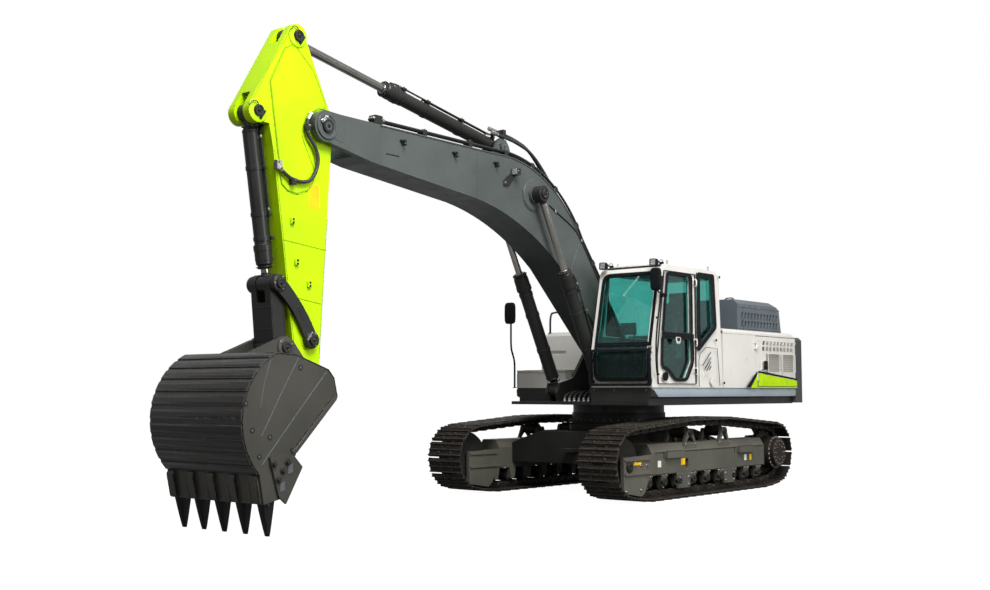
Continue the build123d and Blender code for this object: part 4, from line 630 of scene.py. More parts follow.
# ------------------------------------------------------------------ tracks
GAUGE = 1.295                             # a track's middle line from the machine's
SHOE_COUNT, SHOE_HALF, RAIL_Y = 50, 0.297, 0.09
WHEEL_X, WHEEL_Z = 2.02, 0.51             # axle of the idler in front and of the drive behind
CARRIER_X = (0.43, -0.53)
WHEELS = np.array([                       # x, z and pitch radius of what the chain runs round
    (WHEEL_X, WHEEL_Z, 0.385), (-WHEEL_X, WHEEL_Z, 0.385), (1.64, 0.27, 0.19), (-1.64, 0.27, 0.19),
    (CARRIER_X[0], 0.85, 0.15), (CARRIER_X[1], 0.85, 0.15)])


def chain_links():
    """Start points and unit slopes of the links: even steps along the hull of all wheels.

    The hull's point for a direction d is c + r d of the wheel with the largest c.d + r."""
    turn = np.linspace(0, ROUND, 24001)[:-1]
    d = np.stack([np.cos(turn), np.sin(turn)], 1)
    reach = d @ WHEELS[:, :2].T + WHEELS[:, 2]
    best = np.argmax(reach, 1)
    hull = WHEELS[best, :2] + WHEELS[best, 2][:, None] * d
    hull = np.concatenate([hull, hull[:1]])
    s = np.concatenate([[0], np.cumsum(np.linalg.norm(np.diff(hull, axis=0), axis=1))])
    at = np.linspace(0, s[-1], SHOE_COUNT + 1)
    pins = np.stack([np.interp(at, s, hull[:, k]) for k in (0, 1)], 1)
    step = np.diff(pins, axis=0)
    return pins[:-1], step / np.linalg.norm(step, axis=1)[:, None], float(np.linalg.norm(step, axis=1).mean())


PINS, SLOPES, PITCH = chain_links()


def along_chain(shapes, middle):
    """Shapes drawn as (run, across, height) over one link, set on every link of a track in one array step."""
    made = []
    away = np.stack([SLOPES[:, 1], -SLOPES[:, 0]], 1)
    for points, faces in shapes:
        flat = PINS[:, None] + points[None, :, 0, None] * SLOPES[:, None] + points[None, :, 2, None] * away[:, None]
        across = np.broadcast_to(points[None, :, 1] + middle, flat.shape[:2])
        spots = np.stack([flat[..., 0], across, flat[..., 1]], -1).reshape(-1, 3)
        starts = [link * len(points) for link in range(SHOE_COUNT)]
        made.append((spots, [[k + start for k in face[::-1]] for start in starts for face in faces]))
    return made


def shoe_profile():
    """Section of a triple-lug shoe along the chain: (run, height), with a lip that overlaps the next shoe."""
    p = PITCH
    return [(0.003, 0.034), (0.003, 0.047), (0.01, 0.054), (0.017, 0.0785), (0.028, 0.0785), (0.037, 0.055),
            (0.42 * p, 0.054), (0.45 * p, 0.0755), (0.505 * p, 0.0755), (0.54 * p, 0.054), (0.8 * p, 0.055),
            (0.835 * p, 0.0785), (0.89 * p, 0.0785), (0.925 * p, 0.054), (p + 0.004, 0.05), (p + 0.006, 0.042),
            (0.9 * p, 0.04), (0.12 * p, 0.04)]


def link_outline():
    """Side view of one chain link: two round ends with a waist, (run, height)."""
    t = np.linspace(math.pi / 2, 3 * math.pi / 2, 7)
    back = np.stack([0.002 + 0.04 * np.cos(t), 0.04 * np.sin(t)], 1)
    front = np.stack([PITCH - 0.03 + 0.034 * np.cos(t - math.pi), 0.034 * np.sin(t - math.pi)], 1)
    return np.concatenate([back, [(0.06, -0.046), (0.13, -0.046)], front, [(0.15, 0.034), (0.05, 0.034)]])


def track_shapes(middle):
    """One track's shoes, links, pins and bushes, and the bolts that hold the shoes."""
    steel = [slab(shoe_profile(), -SHOE_HALF, SHOE_HALF, "side", 0.002)]
    for rail in (-RAIL_Y, RAIL_Y):
        steel.append(slab(link_outline(), rail - 0.019, rail + 0.019))
        steel.append(turned(
            [(0, 0.022), (0.01, 0.022), (0.013, 0.016)], (0.006, rail * 1.22, 0), (0, np.sign(rail), 0), 12))
    steel.append(turned([(-0.085, 0.026), (0.085, 0.026)], (0.004, 0, 0), LEFT, 12))
    bolts = []
    for across in (-0.112, -0.066, 0.066, 0.112):
        bolts += bolt((0.295 * PITCH if abs(across) > 0.1 else 0.66 * PITCH, across, 0.054), UP, 0.03, False)
    return along_chain(steel, middle), along_chain(bolts, middle)


for side_name, sign in (("left", 1), ("right", -1)):
    steel, bolts = track_shapes(sign * GAUGE)
    piece(f"track_chain_{side_name}", "undercarriage", [(TRACK_STEEL, steel), (TRACK_STEEL, bolts)],
          (f"track_{side_name}",), 35)


# ------------------------------------------------------------------ undercarriage fittings
def plate_label(x, z, wide, tall, y, side, thick=0.0015):
    """Blank film label round a point of a side face."""
    outline = box_outline((x - wide / 2, x + wide / 2), (z - tall / 2, z + tall / 2))
    return slab(outline, *outward(y, side, thick), "side", 0.0005, 0.004)


def arrow_label(x, z, size, y, side):
    """Film arrow: head and shaft in shares of a size, which is negative where the arrow points forwards."""
    drawn = np.array([(-1, 0), (-0.35, 0.42), (-0.35, 0.18), (1, 0.18), (1, -0.18), (-0.35, -0.18), (-0.35, -0.42)])
    return slab(drawn * size + (x, z), *outward(y, side, 0.0015), "side", 0.0005)


ROLLER_X = 1.53 - 0.3825 * np.arange(9)      # nine bottom rollers at even steps
for side_name, sign in (("left", 1), ("right", -1)):
    face = sign * (GAUGE + 0.19)
    out = (0, sign, 0)
    steel, bolts, seams, labels, white = [], [], [], [], []
    for x in ROLLER_X:
        steel.append(turned([(-0.03, 0.058), (0.012, 0.058), (0.02, 0.048), (0.02, 0.022), (0.012, 0.018)],
                            (x, face, 0.232), out, 24))
        for dx in (-0.052, 0.052):
            bolts += bolt((x + dx, face, 0.318), out, 0.028)
    for x in CARRIER_X:
        hub = np.array((x, sign * (GAUGE + 0.176), 0.872))
        steel.append(turned([(-0.02, 0.055), (0.016, 0.055), (0.026, 0.04), (0.026, 0.014)], hub, out, 24))
        for dx, dz in ((-0.135, -0.16), (0.135, -0.16), (-0.05, 0.016), (0.05, 0.016)):
            bolts += bolt(hub + (dx, 0, dz), out, 0.024)
    # idler: cover of its hub and guide bolts
    steel.append(turned([(-0.02, 0.07), (0.018, 0.07), (0.03, 0.052), (0.03, 0.02), (0.022, 0.016)],
                        (WHEEL_X, face + sign * 0.012, 0.47), out, 28))
    for x, z in ((1.6, 0.475), (1.74, 0.475), (1.88, 0.475), (2.09, 0.56), (2.09, 0.16), (1.75, 0.16)):
        bolts += bolt((x, face + sign * 0.012, z), out, 0.03)
    # final drive: stepped cover, two rings of bolts
    drive = (-WHEEL_X, sign * (GAUGE + 0.298), WHEEL_Z)
    steel.append(turned(
        [(-0.02, 0.196), (0.004, 0.196), (0.004, 0.15), (0.0065, 0.146), (0.0065, 0.05)], drive, out, 48))
    drive_face = (drive[0], sign * (GAUGE + 0.302), drive[2])
    for count, ring, size in ((16, 0.172, 0.022), (8, 0.11, 0.02)):
        bolts += bolt_ring(drive_face, out, ring, count, size)
    rim = (-WHEEL_X, sign * (GAUGE + 0.238), WHEEL_Z)
    bolts += bolt_ring(rim, out, 0.228, 20, 0.024, 0.08)
    # steps: tread ribs; chain guards: bolts
    for x in (0.93, -1.085):
        for k in range(7):
            steel.append(brick(
                (x - 0.19 + k * 0.058, x - 0.16 + k * 0.058), (face + sign * 0.006, face + sign * 0.052),
                (0.632, 0.64), 0.002))
    for x in (0.65, -0.63):
        for dx in (-0.12, 0.12):
            bolts += bolt((x + dx, face + sign * 0.008, 0.27), out, 0.03)
            bolts += bolt((x + dx, face + sign * 0.008, 0.17), out, 0.03)
    # weld seams along the shoulders and round the guide plate
    for z in (0.625, 0.338):
        seams.append(bead([(-1.7, face, z), (1.38, face, z)], 0.006, 0.01))
    for x in (-1.35, -0.8, 0.72, 1.16):
        seams.append(bead([(x, face + sign * 0.002, 0.55), (x, face + sign * 0.002, 0.625)], 0.005))
    labels.append(arrow_label(1.83, 0.505, -0.095, face + sign * 0.013, sign))
    for colour, x, z, wide, tall in (
        (labels, 0.66, 0.483, 0.11, 0.085), (labels, 1.415, 0.472, 0.06, 0.095), (labels, -1.29, 0.466, 0.055, 0.085),
        (white, 1.27, 0.475, 0.085, 0.085), (white, -1.13, 0.466, 0.075, 0.085)):
        colour.append(plate_label(x, z, wide, tall, face, sign))
    piece(
        f"undercarriage_fittings_{side_name}", "undercarriage",
        [(FRAME_PAINT, steel + seams), (BOLT_STEEL, bolts), (YELLOW_LABEL, labels), (WHITE_LABEL, white)])

# swing ring: rows of bolts on its flanges
ring_bolts = bolt_ring((0, 0, 1.13), UP, 0.655, 44, 0.026) + bolt_ring((0, 0, 1.02), UP, 0.715, 44, 0.024)
flange = [turned([(0, 0.745), (0.02, 0.745), (0.026, 0.738), (0.026, 0.692)], (0, 0, 0.994), UP, 72)]
piece("swing_ring_bolts", "undercarriage", [(FRAME_PAINT, flange), (BOLT_STEEL, ring_bolts)])


# ------------------------------------------------------------------ boom
BOOM_SIDE = 0.26                                                # outer face of the bosses
BACK_ARC = ((3.15, 4.52), (2.08, 4.285), (1.3, 3.56))     # three points of the back's bend
PIPES_Y = (0.154, 0.256)                                        # clamps of the two pipes, across
CLAMP_BOLTS_Y = (0.17, 0.2125, 0.245)
CLAMP_HALF = 0.034


def three_point_arc(points):
    """Centre, radius and first and last angle of the circle through three points."""
    (ax, ay), (bx, by), (cx, cy) = points
    m = 2 * np.array([(bx - ax, by - ay), (cx - ax, cy - ay)])
    centre = np.linalg.solve(m, [bx * bx + by * by - ax * ax - ay * ay, cx * cx + cy * cy - ax * ax - ay * ay])
    first, last = (math.atan2(z - centre[1], x - centre[0]) for x, z in (points[0], points[2]))
    return centre, math.dist(centre, points[0]), first, last


def over_arc(points, shares, height):
    """Points at a height over an arc: centre + (radius + height)(cos a, sin a) for angles a between its ends."""
    centre, radius, first, last = three_point_arc(points)
    a = first + np.asarray(shares, float) * (last - first)
    return centre + (radius + height) * np.stack([np.cos(a), np.sin(a)], -1)


def slope_path(distances, height):
    """Points over the straight slope of the boom's back down to its foot."""
    start, end = np.array(BACK_ARC[2]), np.array((0.06, 2.08))
    u = (end - start) / np.linalg.norm(end - start)
    return start + np.asarray(distances, float)[:, None] * u + height * np.array((u[1], -u[0]))


def arc_block(share, low, high, y, bevel=0.004):
    """Clamp on the bent back: a block 68 mm long, between two heights over the arc."""
    _, radius, first, last = three_point_arc(BACK_ARC)
    half = CLAMP_HALF / radius / (last - first)
    corners = np.concatenate([over_arc(BACK_ARC, [share - half, share + half], low),
                              over_arc(BACK_ARC, [share + half, share - half], high)])
    return slab(corners, *y, "side", bevel)


def boom_pipes_and_hoses():
    """Two oil pipes along the boom's back, their clamps and valve block, and two hoses in a bow."""
    rise = 0.05
    pipes, clamps, bolts, hoses, fittings = [], [], [], [], []
    for y in (0.185, 0.24):
        path = np.concatenate([[(5.44, 4.582), (4.3, 4.576)], over_arc(BACK_ARC, np.linspace(0, 1, 26), rise),
                               slope_path([0.45, 0.9], rise)])
        pipes.append(pipe(side_path(path, y), 0.017, 12, 0))
    for share in (0.08, 0.34, 0.6, 0.9):
        clamps.append(arc_block(share, 0.0005, 0.076, PIPES_Y))
        up = over_arc(BACK_ARC, [share], 1.0)[0] - over_arc(BACK_ARC, [share], 0.0)[0]
        spot = over_arc(BACK_ARC, [share], 0.0755)[0]
        for y in CLAMP_BOLTS_Y:
            bolts += bolt((spot[0], y, spot[1]), (up[0], 0, up[1]), 0.017)
    for x in (3.7, 4.55, 5.38):
        back = 4.525 + (x - 3.2) * 0.0045          # the straight back rises 4.5 mm a metre
        clamps.append(brick(span(x, CLAMP_HALF), PIPES_Y, (back, 4.604), 0.004))
        for y in CLAMP_BOLTS_Y:
            bolts += bolt((x, y, 4.603), UP, 0.017)
    for distance in (0.42, 0.8):
        corners = np.concatenate([slope_path([distance - CLAMP_HALF, distance + CLAMP_HALF], 0.0006),
                                  slope_path([distance + CLAMP_HALF, distance - CLAMP_HALF], 0.076)])
        clamps.append(slab(corners, *PIPES_Y, "side", 0.004))
    # valve block at the front end with its ports
    clamps.append(brick((5.285, 5.405), (0.148, 0.258), (4.534, 4.638), 0.006))
    for y in (0.196, 0.238):
        fittings.append(turned(
            [(0, 0.018), (0.02, 0.018), (0.024, 0.014), (0.036, 0.014)], (5.405, y, 4.6), AHEAD, 12))
        fittings.append(turned([(0, 0.026), (0.03, 0.026), (0.034, 0.02)], (5.285, y, 4.585), (-1, 0, 0), 12))
    # hoses in a bow from the arm cylinder's foot to the boom's back
    for y, lift in ((0.068, 0.0), (0.122, -0.055)):
        down = over_arc(BACK_ARC, [0.66, 0.86], 0.12) - np.array([(0, 0), (0, 0.058)])
        route = np.concatenate([
            np.array([(3.09, 4.88), (2.85, 4.855), (2.6, 4.825), (2.23, 4.725)]) + (0, lift), down])
        hoses.append(pipe(side_path(route, y), 0.021, 14, 4))
        fittings.append(turned(
            [(-0.05, 0.027), (0.045, 0.027), (0.05, 0.02)], (3.05, y, 4.875 + lift), (1, 0, 0.15), 14))
        fittings.append(turned([(0, 0.029), (0.03, 0.029), (0.034, 0.022)], (3.09, y, 4.88 + lift), (1, 0, 0.15), 6))
    clamps.append(brick((2.852, 2.908), (0.046, 0.144), (4.802, 4.898), 0.005))
    clamps.append(slab([(2.851, 4.7735), (2.909, 4.778), (2.909, 4.82), (2.851, 4.82)], 0.075, 0.111, "side", 0.002))
    clamps.append(arc_block(0.8, 0.001, 0.124, (0.046, 0.144), 0.005))
    piece("boom_piping", "boom", [(BLACK, pipes + clamps), (BOLT_STEEL, bolts), (RUBBER, hoses), (ZINC, fittings)],
          ("boom_pipes",))


boom_pipes_and_hoses()


def boom_fittings():
    """Pin bosses, caps, lugs, seams and grease lines on both sides of the boom, and the working lamp."""
    dark, paint_work, bolts, seams, bright = [], [], [], [], []
    for sign in (-1, 1):
        face, out = sign * BOOM_SIDE, (0, sign, 0)
        # pins: bosses with stepped rings, caps and lock plates
        ring, cap = 0.118, 0.078
        for x, _, z in (BOOM_TIP, BOOM_FOOT):
            paint_work.append(turned(
                [(-0.02, 0.15), (0.012, 0.15), (0.018, 0.144), (0.018, ring), (0.01, ring - 0.004),
                 (0.01, cap + 0.004)], (x, face, z), out, 48))
            dark += pin_cap((x, face + sign * 0.014, z), sign, cap)
        bright += lock_plate((BOOM_TIP[0], face + sign * 0.018, BOOM_TIP[2]), sign, 52, 0.09, 0.04, 0.012, 0.026)
        x, z = BOOM_EYE[0], BOOM_EYE[2]
        paint_work.append(turned(
            [(0.0, 0.205), (0.006, 0.205), (0.012, 0.198), (0.012, 0.135)], (x, face, z), out, 56))
        t = np.linspace(0, ROUND, 40)
        circle = np.stack([x + 0.218 * np.cos(t), z + 0.218 * np.sin(t)], 1)
        seams.append(weld(circle, face - sign * 0.004, 0.006))
        # lugs for hoses and hand lines
        for lx, lz in ((4.943, 4.399), (4.008, 4.398), (3.202, 4.39)):
            dark.append(brick(span(lx, 0.045), (face - sign * 0.01, face + sign * 0.018), span(lz, 0.012)))
            dark.append(brick(span(lx, 0.012), (face - sign * 0.01, face + sign * 0.04), (lz - 0.055, lz + 0.012)))
            dark.append(turned(
                [(0, 0.016), (0.02, 0.016), (0.026, 0.01)], (lx, face + sign * 0.03, lz - 0.045), out, 12))
        # seams of the side plate and the castings
        web = face - sign * 0.0095
        for path in ([(5.325, 4.08), (5.325, 4.5)], [(3.564, 3.9), (3.564, 4.505)], [(1.62, 2.98), (1.34, 3.52)]):
            seams.append(weld(path, web, 0.005, 0.008))
        paint_work.append(slab([(5.9, 4.5), (6.06, 4.515), (6.06, 4.245), (5.9, 4.215)], *outward(face, sign, 0.003),
                               "side", 0.002, 0.05))
        dark.append(brick((5.00, 5.22), (face - sign * 0.012, face - sign * 0.004), (4.2, 4.214)))
        # grease line along the foot
        line = [(2.05, 3.976), (1.91, 3.908), (1.454, 3.715), (1.3, 3.56), (0.62, 2.7), (0.36, 2.24)]
        dark.append(pipe(side_path(line, face - sign * 0.001), 0.008, 8, 2))
        for px, pz in ((1.91, 3.905), (1.3, 3.56), (0.8, 2.93)):
            bright.append(brick(span(px, 0.014), (face - sign * 0.012, face + sign * 0.01), span(pz, 0.02)))
        # ears of the arm cylinder
        px, _, pz = ARM_CYLINDER_FOOT
        dark += pin_cap((px, sign * 0.112, pz), sign, 0.052, 0.02)
        bolts += bolt_ring((px, sign * 0.115, pz), out, 0.075, 3, 0.02, 0.6)
    # working lamp on its bracket
    housing = [brick((2.796, 2.876), (0.264, 0.356), (4.274, 4.366), 0.01, 0.012, "front")]
    housing.append(slab(
        [(2.955, 4.118), (3.052, 4.118), (3.052, 4.192), (2.902, 4.302), (2.8, 4.302), (2.8, 4.27)], 0.262, 0.2705,
        "side", 0.002, 0.012))
    glow = [slab(box_outline((0.272, 0.348), (4.282, 4.358)), 2.876, 2.88, "front", 0.001, 0.01)]
    bolts += bolt((3.02, 0.27, 4.155), LEFT, 0.024) + bolt((2.85, 0.357, 4.32), LEFT, 0.018)
    piece(
        "boom_fittings", "boom", [(BLACK, dark + housing), (SLATE, paint_work + seams), (BOLT_STEEL, bolts),
         (ZINC, bright), (LAMP_LENS, glow)])


boom_fittings()


# ------------------------------------------------------------------ arm
ARM_SIDE = 0.16                              # outer face of the side plates
DOUBLER = 0.168                               # outer face of the plate that doubles them at the boom's pin


def arm_fittings():
    """Bosses, pin caps, seams and the doubler's rim in a darker lime that is painted shade, warning films and clamps
    on both sides of the arm.
    """
    lime, shade, dark, hoses, yellow = [], [], [], [], []
    for sign in (-1, 1):
        out = (0, sign, 0)
        for (x, _, z), cap in ((ARM_EYE, 0.066), (BUCKET_CYLINDER_FOOT, 0.062)):
            boss = [(-0.01, 0.128), (0.01, 0.128), (0.016, 0.12), (0.016, 0.08)]
            lime.append(turned(boss, (x, sign * ARM_SIDE, z), out, 44))
            dark += pin_cap((x, sign * (ARM_SIDE + 0.012), z), sign, cap, 0.03)
            dark += lock_plate((x, sign * (ARM_SIDE + 0.016), z), sign, 215, 0.066, 0.03, 0.01, 0.02)
            if sign > 0:
                loop = [(x, z + 0.02), (x + 0.03, z + 0.09), (x + 0.09, z + 0.092), (x + 0.14, z + 0.03)]
                hoses.append(pipe(side_path(loop, ARM_SIDE + 0.035), 0.006, 8))
        for (x, _, z), ring in ((ROCKER_PIN, 0.118), (BUCKET_PIN, 0.145)):
            lime.append(turned(
                [(-0.01, ring), (0.004, ring), (0.0055, ring - 0.003), (0.0055, 0.06)], (x, sign * ARM_SIDE, z), out,
                44))
        # seams: long corners, doubler's edge and plate joints, in the darker lime that is painted shade
        for path in ([(6.052, 3.35), (6.072, 3.1), (6.15, 1.8)], [(6.822, 4.02), (6.648, 2.86), (6.462, 1.62)],
                     [(6.062, 3.00), (6.676, 3.06)], [(6.13, 2.4), (6.58, 2.46)]):
            shade.append(weld(path, sign * ARM_SIDE, 0.0045, 0.008))
        rim = [(6.7, 5.15), (6.61, 5.203), (6.53, 5.185), (6.29, 4.985), (6.11, 4.66), (6.11, 4.585), (6.215, 4.572),
               (6.3, 4.52), (6.385, 4.44), (6.43, 4.35), (6.447, 4.28), (6.432, 4.2), (6.37, 4.08), (6.27, 3.9),
               (6.258, 3.83), (6.265, 3.76), (6.29, 3.715), (6.35, 3.64), (6.5, 3.585), (6.63, 3.6), (6.72, 3.665),
               (6.895, 4.75), (6.7, 5.15)]
        # the doubler's rim is thinner where the boom's fork passes; its darker lime band is painted shade for the
        # shadow along the plate's edge
        shade.append(weld(rim[:9], sign * ARM_SIDE, 0.012, 0.0035))
        shade.append(weld(rim[8:-1], sign * (ARM_SIDE + 0.001), 0.012, 0.011))
        shade.append(weld(rim[-2:], sign * ARM_SIDE, 0.012, 0.0035))
        yellow.append(plate_label(6.242, 3.582, 0.138, 0.266, sign * ARM_SIDE, sign, 0.0025))
    for x, z in ((6.565, 3.275), (6.497, 2.834), (6.314, 2.605)):
        lime.append(brick(span(x, 0.028), (ARM_SIDE - 0.002, ARM_SIDE + 0.028), span(z, 0.036), 0.004, 0.006, "side"))
        for dz in (-0.018, 0.018):
            dark += bolt((x, ARM_SIDE + 0.027, z + dz), LEFT, 0.02)
    # seam along the head's front edge, in painted shade
    shade.append(weld([(6.6, 5.4), (6.9, 4.93), (7.13, 4.5)], ARM_SIDE, 0.005))
    piece(
        "arm_fittings", "arm",
        [(LIME, lime), (LIME_PAINTED_SHADE, shade), (BLACK, dark), (RUBBER, hoses), (YELLOW_LABEL, yellow)])


arm_fittings()


def arm_hose_run():
    """Thick hose in an S down the arm's cab side, with its end fittings and clamps."""
    y = ARM_SIDE + 0.0423
    route = [
        (6.352, 4.48), (6.398, 4.4), (6.405, 4.29), (6.37, 4.22), (6.262, 4.11), (6.222, 3.95), (6.32, 3.745),
        (6.48, 3.7), (6.666, 3.735), (6.8, 3.845)]
    path = smooth(side_path(route, y))
    hoses = [pipe(path, 0.021, 16, 0)]
    fit, dark = [], []
    for spot, way in ((path[0], path[0] - path[2]), (path[-1], path[-1] - path[-3])):
        fit.append(turned([(-0.075, 0.0235), (-0.02, 0.0245), (0.0, 0.0245)], spot, way, 16))
    fit.append(turned([(-0.01, 0.029), (0.022, 0.029), (0.026, 0.024)], path[-1], path[-1] - path[-3], 6))
    fit.append(turned([(-0.01, 0.029), (0.01, 0.029)], path[0], path[0] - path[2], 6))
    dark.append(brick((6.363, 6.427), (DOUBLER + 0.0005, 0.228), (4.293, 4.362), 0.005, 0.006, "side"))
    dark.append(brick((6.558, 6.622), (DOUBLER + 0.0005, 0.228), (3.663, 3.737), 0.005, 0.006, "side"))
    fit.append(brick((6.7625, 6.836), (ARM_SIDE + 0.0005, 0.2305), (3.799, 3.901), 0.006, 0.01, "side"))
    caps = bolt((6.385, 0.228, 4.345), LEFT, 0.018) + bolt((6.575, 0.228, 3.72), LEFT, 0.018)
    caps += bolt((6.78, 0.2305, 3.82), LEFT, 0.018) + bolt((6.82, 0.2305, 3.88), LEFT, 0.018)
    piece("arm_hose_run", "arm", [(RUBBER, hoses), (ZINC, fit), (BLACK, dark), (BOLT_STEEL, caps)],
          ("arm_hoses",))


arm_hose_run()


# ------------------------------------------------------------------ cab
CAB_FRONT = np.array([(1.44, 1.49), (1.465, 1.9), (1.205, 3.075), (1.12, 3.165)])      # side view (x, z)
CAB_INNER = LOW["cab_shell"].y                # the cab's face towards the boom
ROOF = HIGH["cab_shell"].z - 0.018            # roof skin between its raised edges
UPPER_PANE = [(0.44, 2.225), (1.195, 2.225), (1.06, 3.05), (0.44, 3.05)]
LOWER_PANE = [(0.42, 2.175), (1.205, 2.175), (1.225, 1.775), (1.06, 1.74), (0.88, 1.6), (0.59, 1.6), (0.41, 1.85)]
QUARTER_PANE = [(0.255, 3.1), (-0.19, 3.1), (-0.245, 2.35), (0.255, 2.01)]
DOOR_EDGE = [(0.305, 1.54), (1.31, 1.54), (1.33, 1.9), (1.13, 3.08), (0.305, 3.08)]


def lean(z):
    """How far forwards the cab's front face stands at a height."""
    return np.interp(z, CAB_FRONT[:, 1], CAB_FRONT[:, 0])


def on_front(outline, proud):
    """Outline drawn as (y, z) laid on the cab's leaning front face, a distance before it."""
    outline = np.asarray(outline, float)
    return np.stack([lean(outline[:, 1]) + proud, outline[:, 0], outline[:, 1]], 1)


def front_band(outline, wide, count, near, far):
    """Flat frame on the front face: the band between an outline and the same outline moved in by a width."""
    return ring_of(spread(outline, count), spread(inset(outline, wide), count), near, far, on_front)


def cab_door_fittings():
    """Cab door: printed borders and seals of its panes, bar with the handle, air inlet, lip and hinges."""
    face = SIDE
    black, seals, white, bright, dark = [], [], [], [], []
    for outline, proud in ((UPPER_PANE, 0.0022), (LOWER_PANE, 0.0018)):
        black.append(frame_on_side(outline, 0.024, 0.012, face - 0.002, face + proud))
        seals.append(frame_on_side(outline, -0.004, 0.02, face - 0.034, face - 0.006))
    # bar between the panes, grab handle with its lock, and the door's rubber lip
    black.append(slab(box_outline((0.395, 1.235), (2.165, 2.235)), face - 0.001, face + 0.006, "side", 0.002, 0.01))
    white.append(slab(
        [(0.745, 2.178), (0.775, 2.085), (0.865, 2.085), (0.895, 2.178)], face + 0.001, face + 0.01, "side", 0.004,
        0.03))
    dark.append(slab(
        [(0.772, 2.17), (0.79, 2.12), (0.85, 2.12), (0.868, 2.17)], face + 0.009, face + 0.012, "side", 0.001, 0.012))
    bright.append(turned([(0, 0.011), (0.004, 0.011), (0.006, 0.008)], (0.82, face + 0.01, 2.102), LEFT, 16))
    # air inlet: rim, dark dish and curved vanes
    vent_x, vent_z = 1.165, 1.64
    dark.append(turned(
        [(-0.012, 0.06), (-0.004, 0.062), (0.004, 0.06), (0.006, 0.054), (-0.002, 0.05), (-0.002, 0.004)],
        (vent_x, face + 0.012, vent_z), LEFT, 36))
    for k in range(3):
        half, z = 0.042 - 0.003 * k, vent_z - 0.03 + 0.026 * k
        dark.append(brick((vent_x - half, vent_x + half), (face + 0.01, face + 0.017), (z, z + 0.014), 0.002))
    seals.append(frame_on_side(DOOR_EDGE, -0.0005, 0.0055, face - 0.052, face - 0.012, 0.02))
    for heights in (1.72, 2.12, ROOF - 0.205):
        dark.append(brick((0.318, 0.372), (face - 0.001, face + 0.0015), span(heights, 0.034), 0.0008, 0.006, "side"))
    piece(
        "cab_door_fittings", "cab_door", [(DARK_TRIM, black + dark), (RUBBER, seals), (WHITE, white), (ZINC, bright)])


cab_door_fittings()


def pressed_slot(x0, z0, x1, z1, wide):
    """Outline of a slot between two points: both ends moved half its width to either side."""
    a, b = np.array((x0, z0)), np.array((x1, z1))
    u = (b - a) / np.linalg.norm(b - a)
    n = np.array((-u[1], u[0])) * wide / 2
    return [a + n, a - n, b - n, b + n]


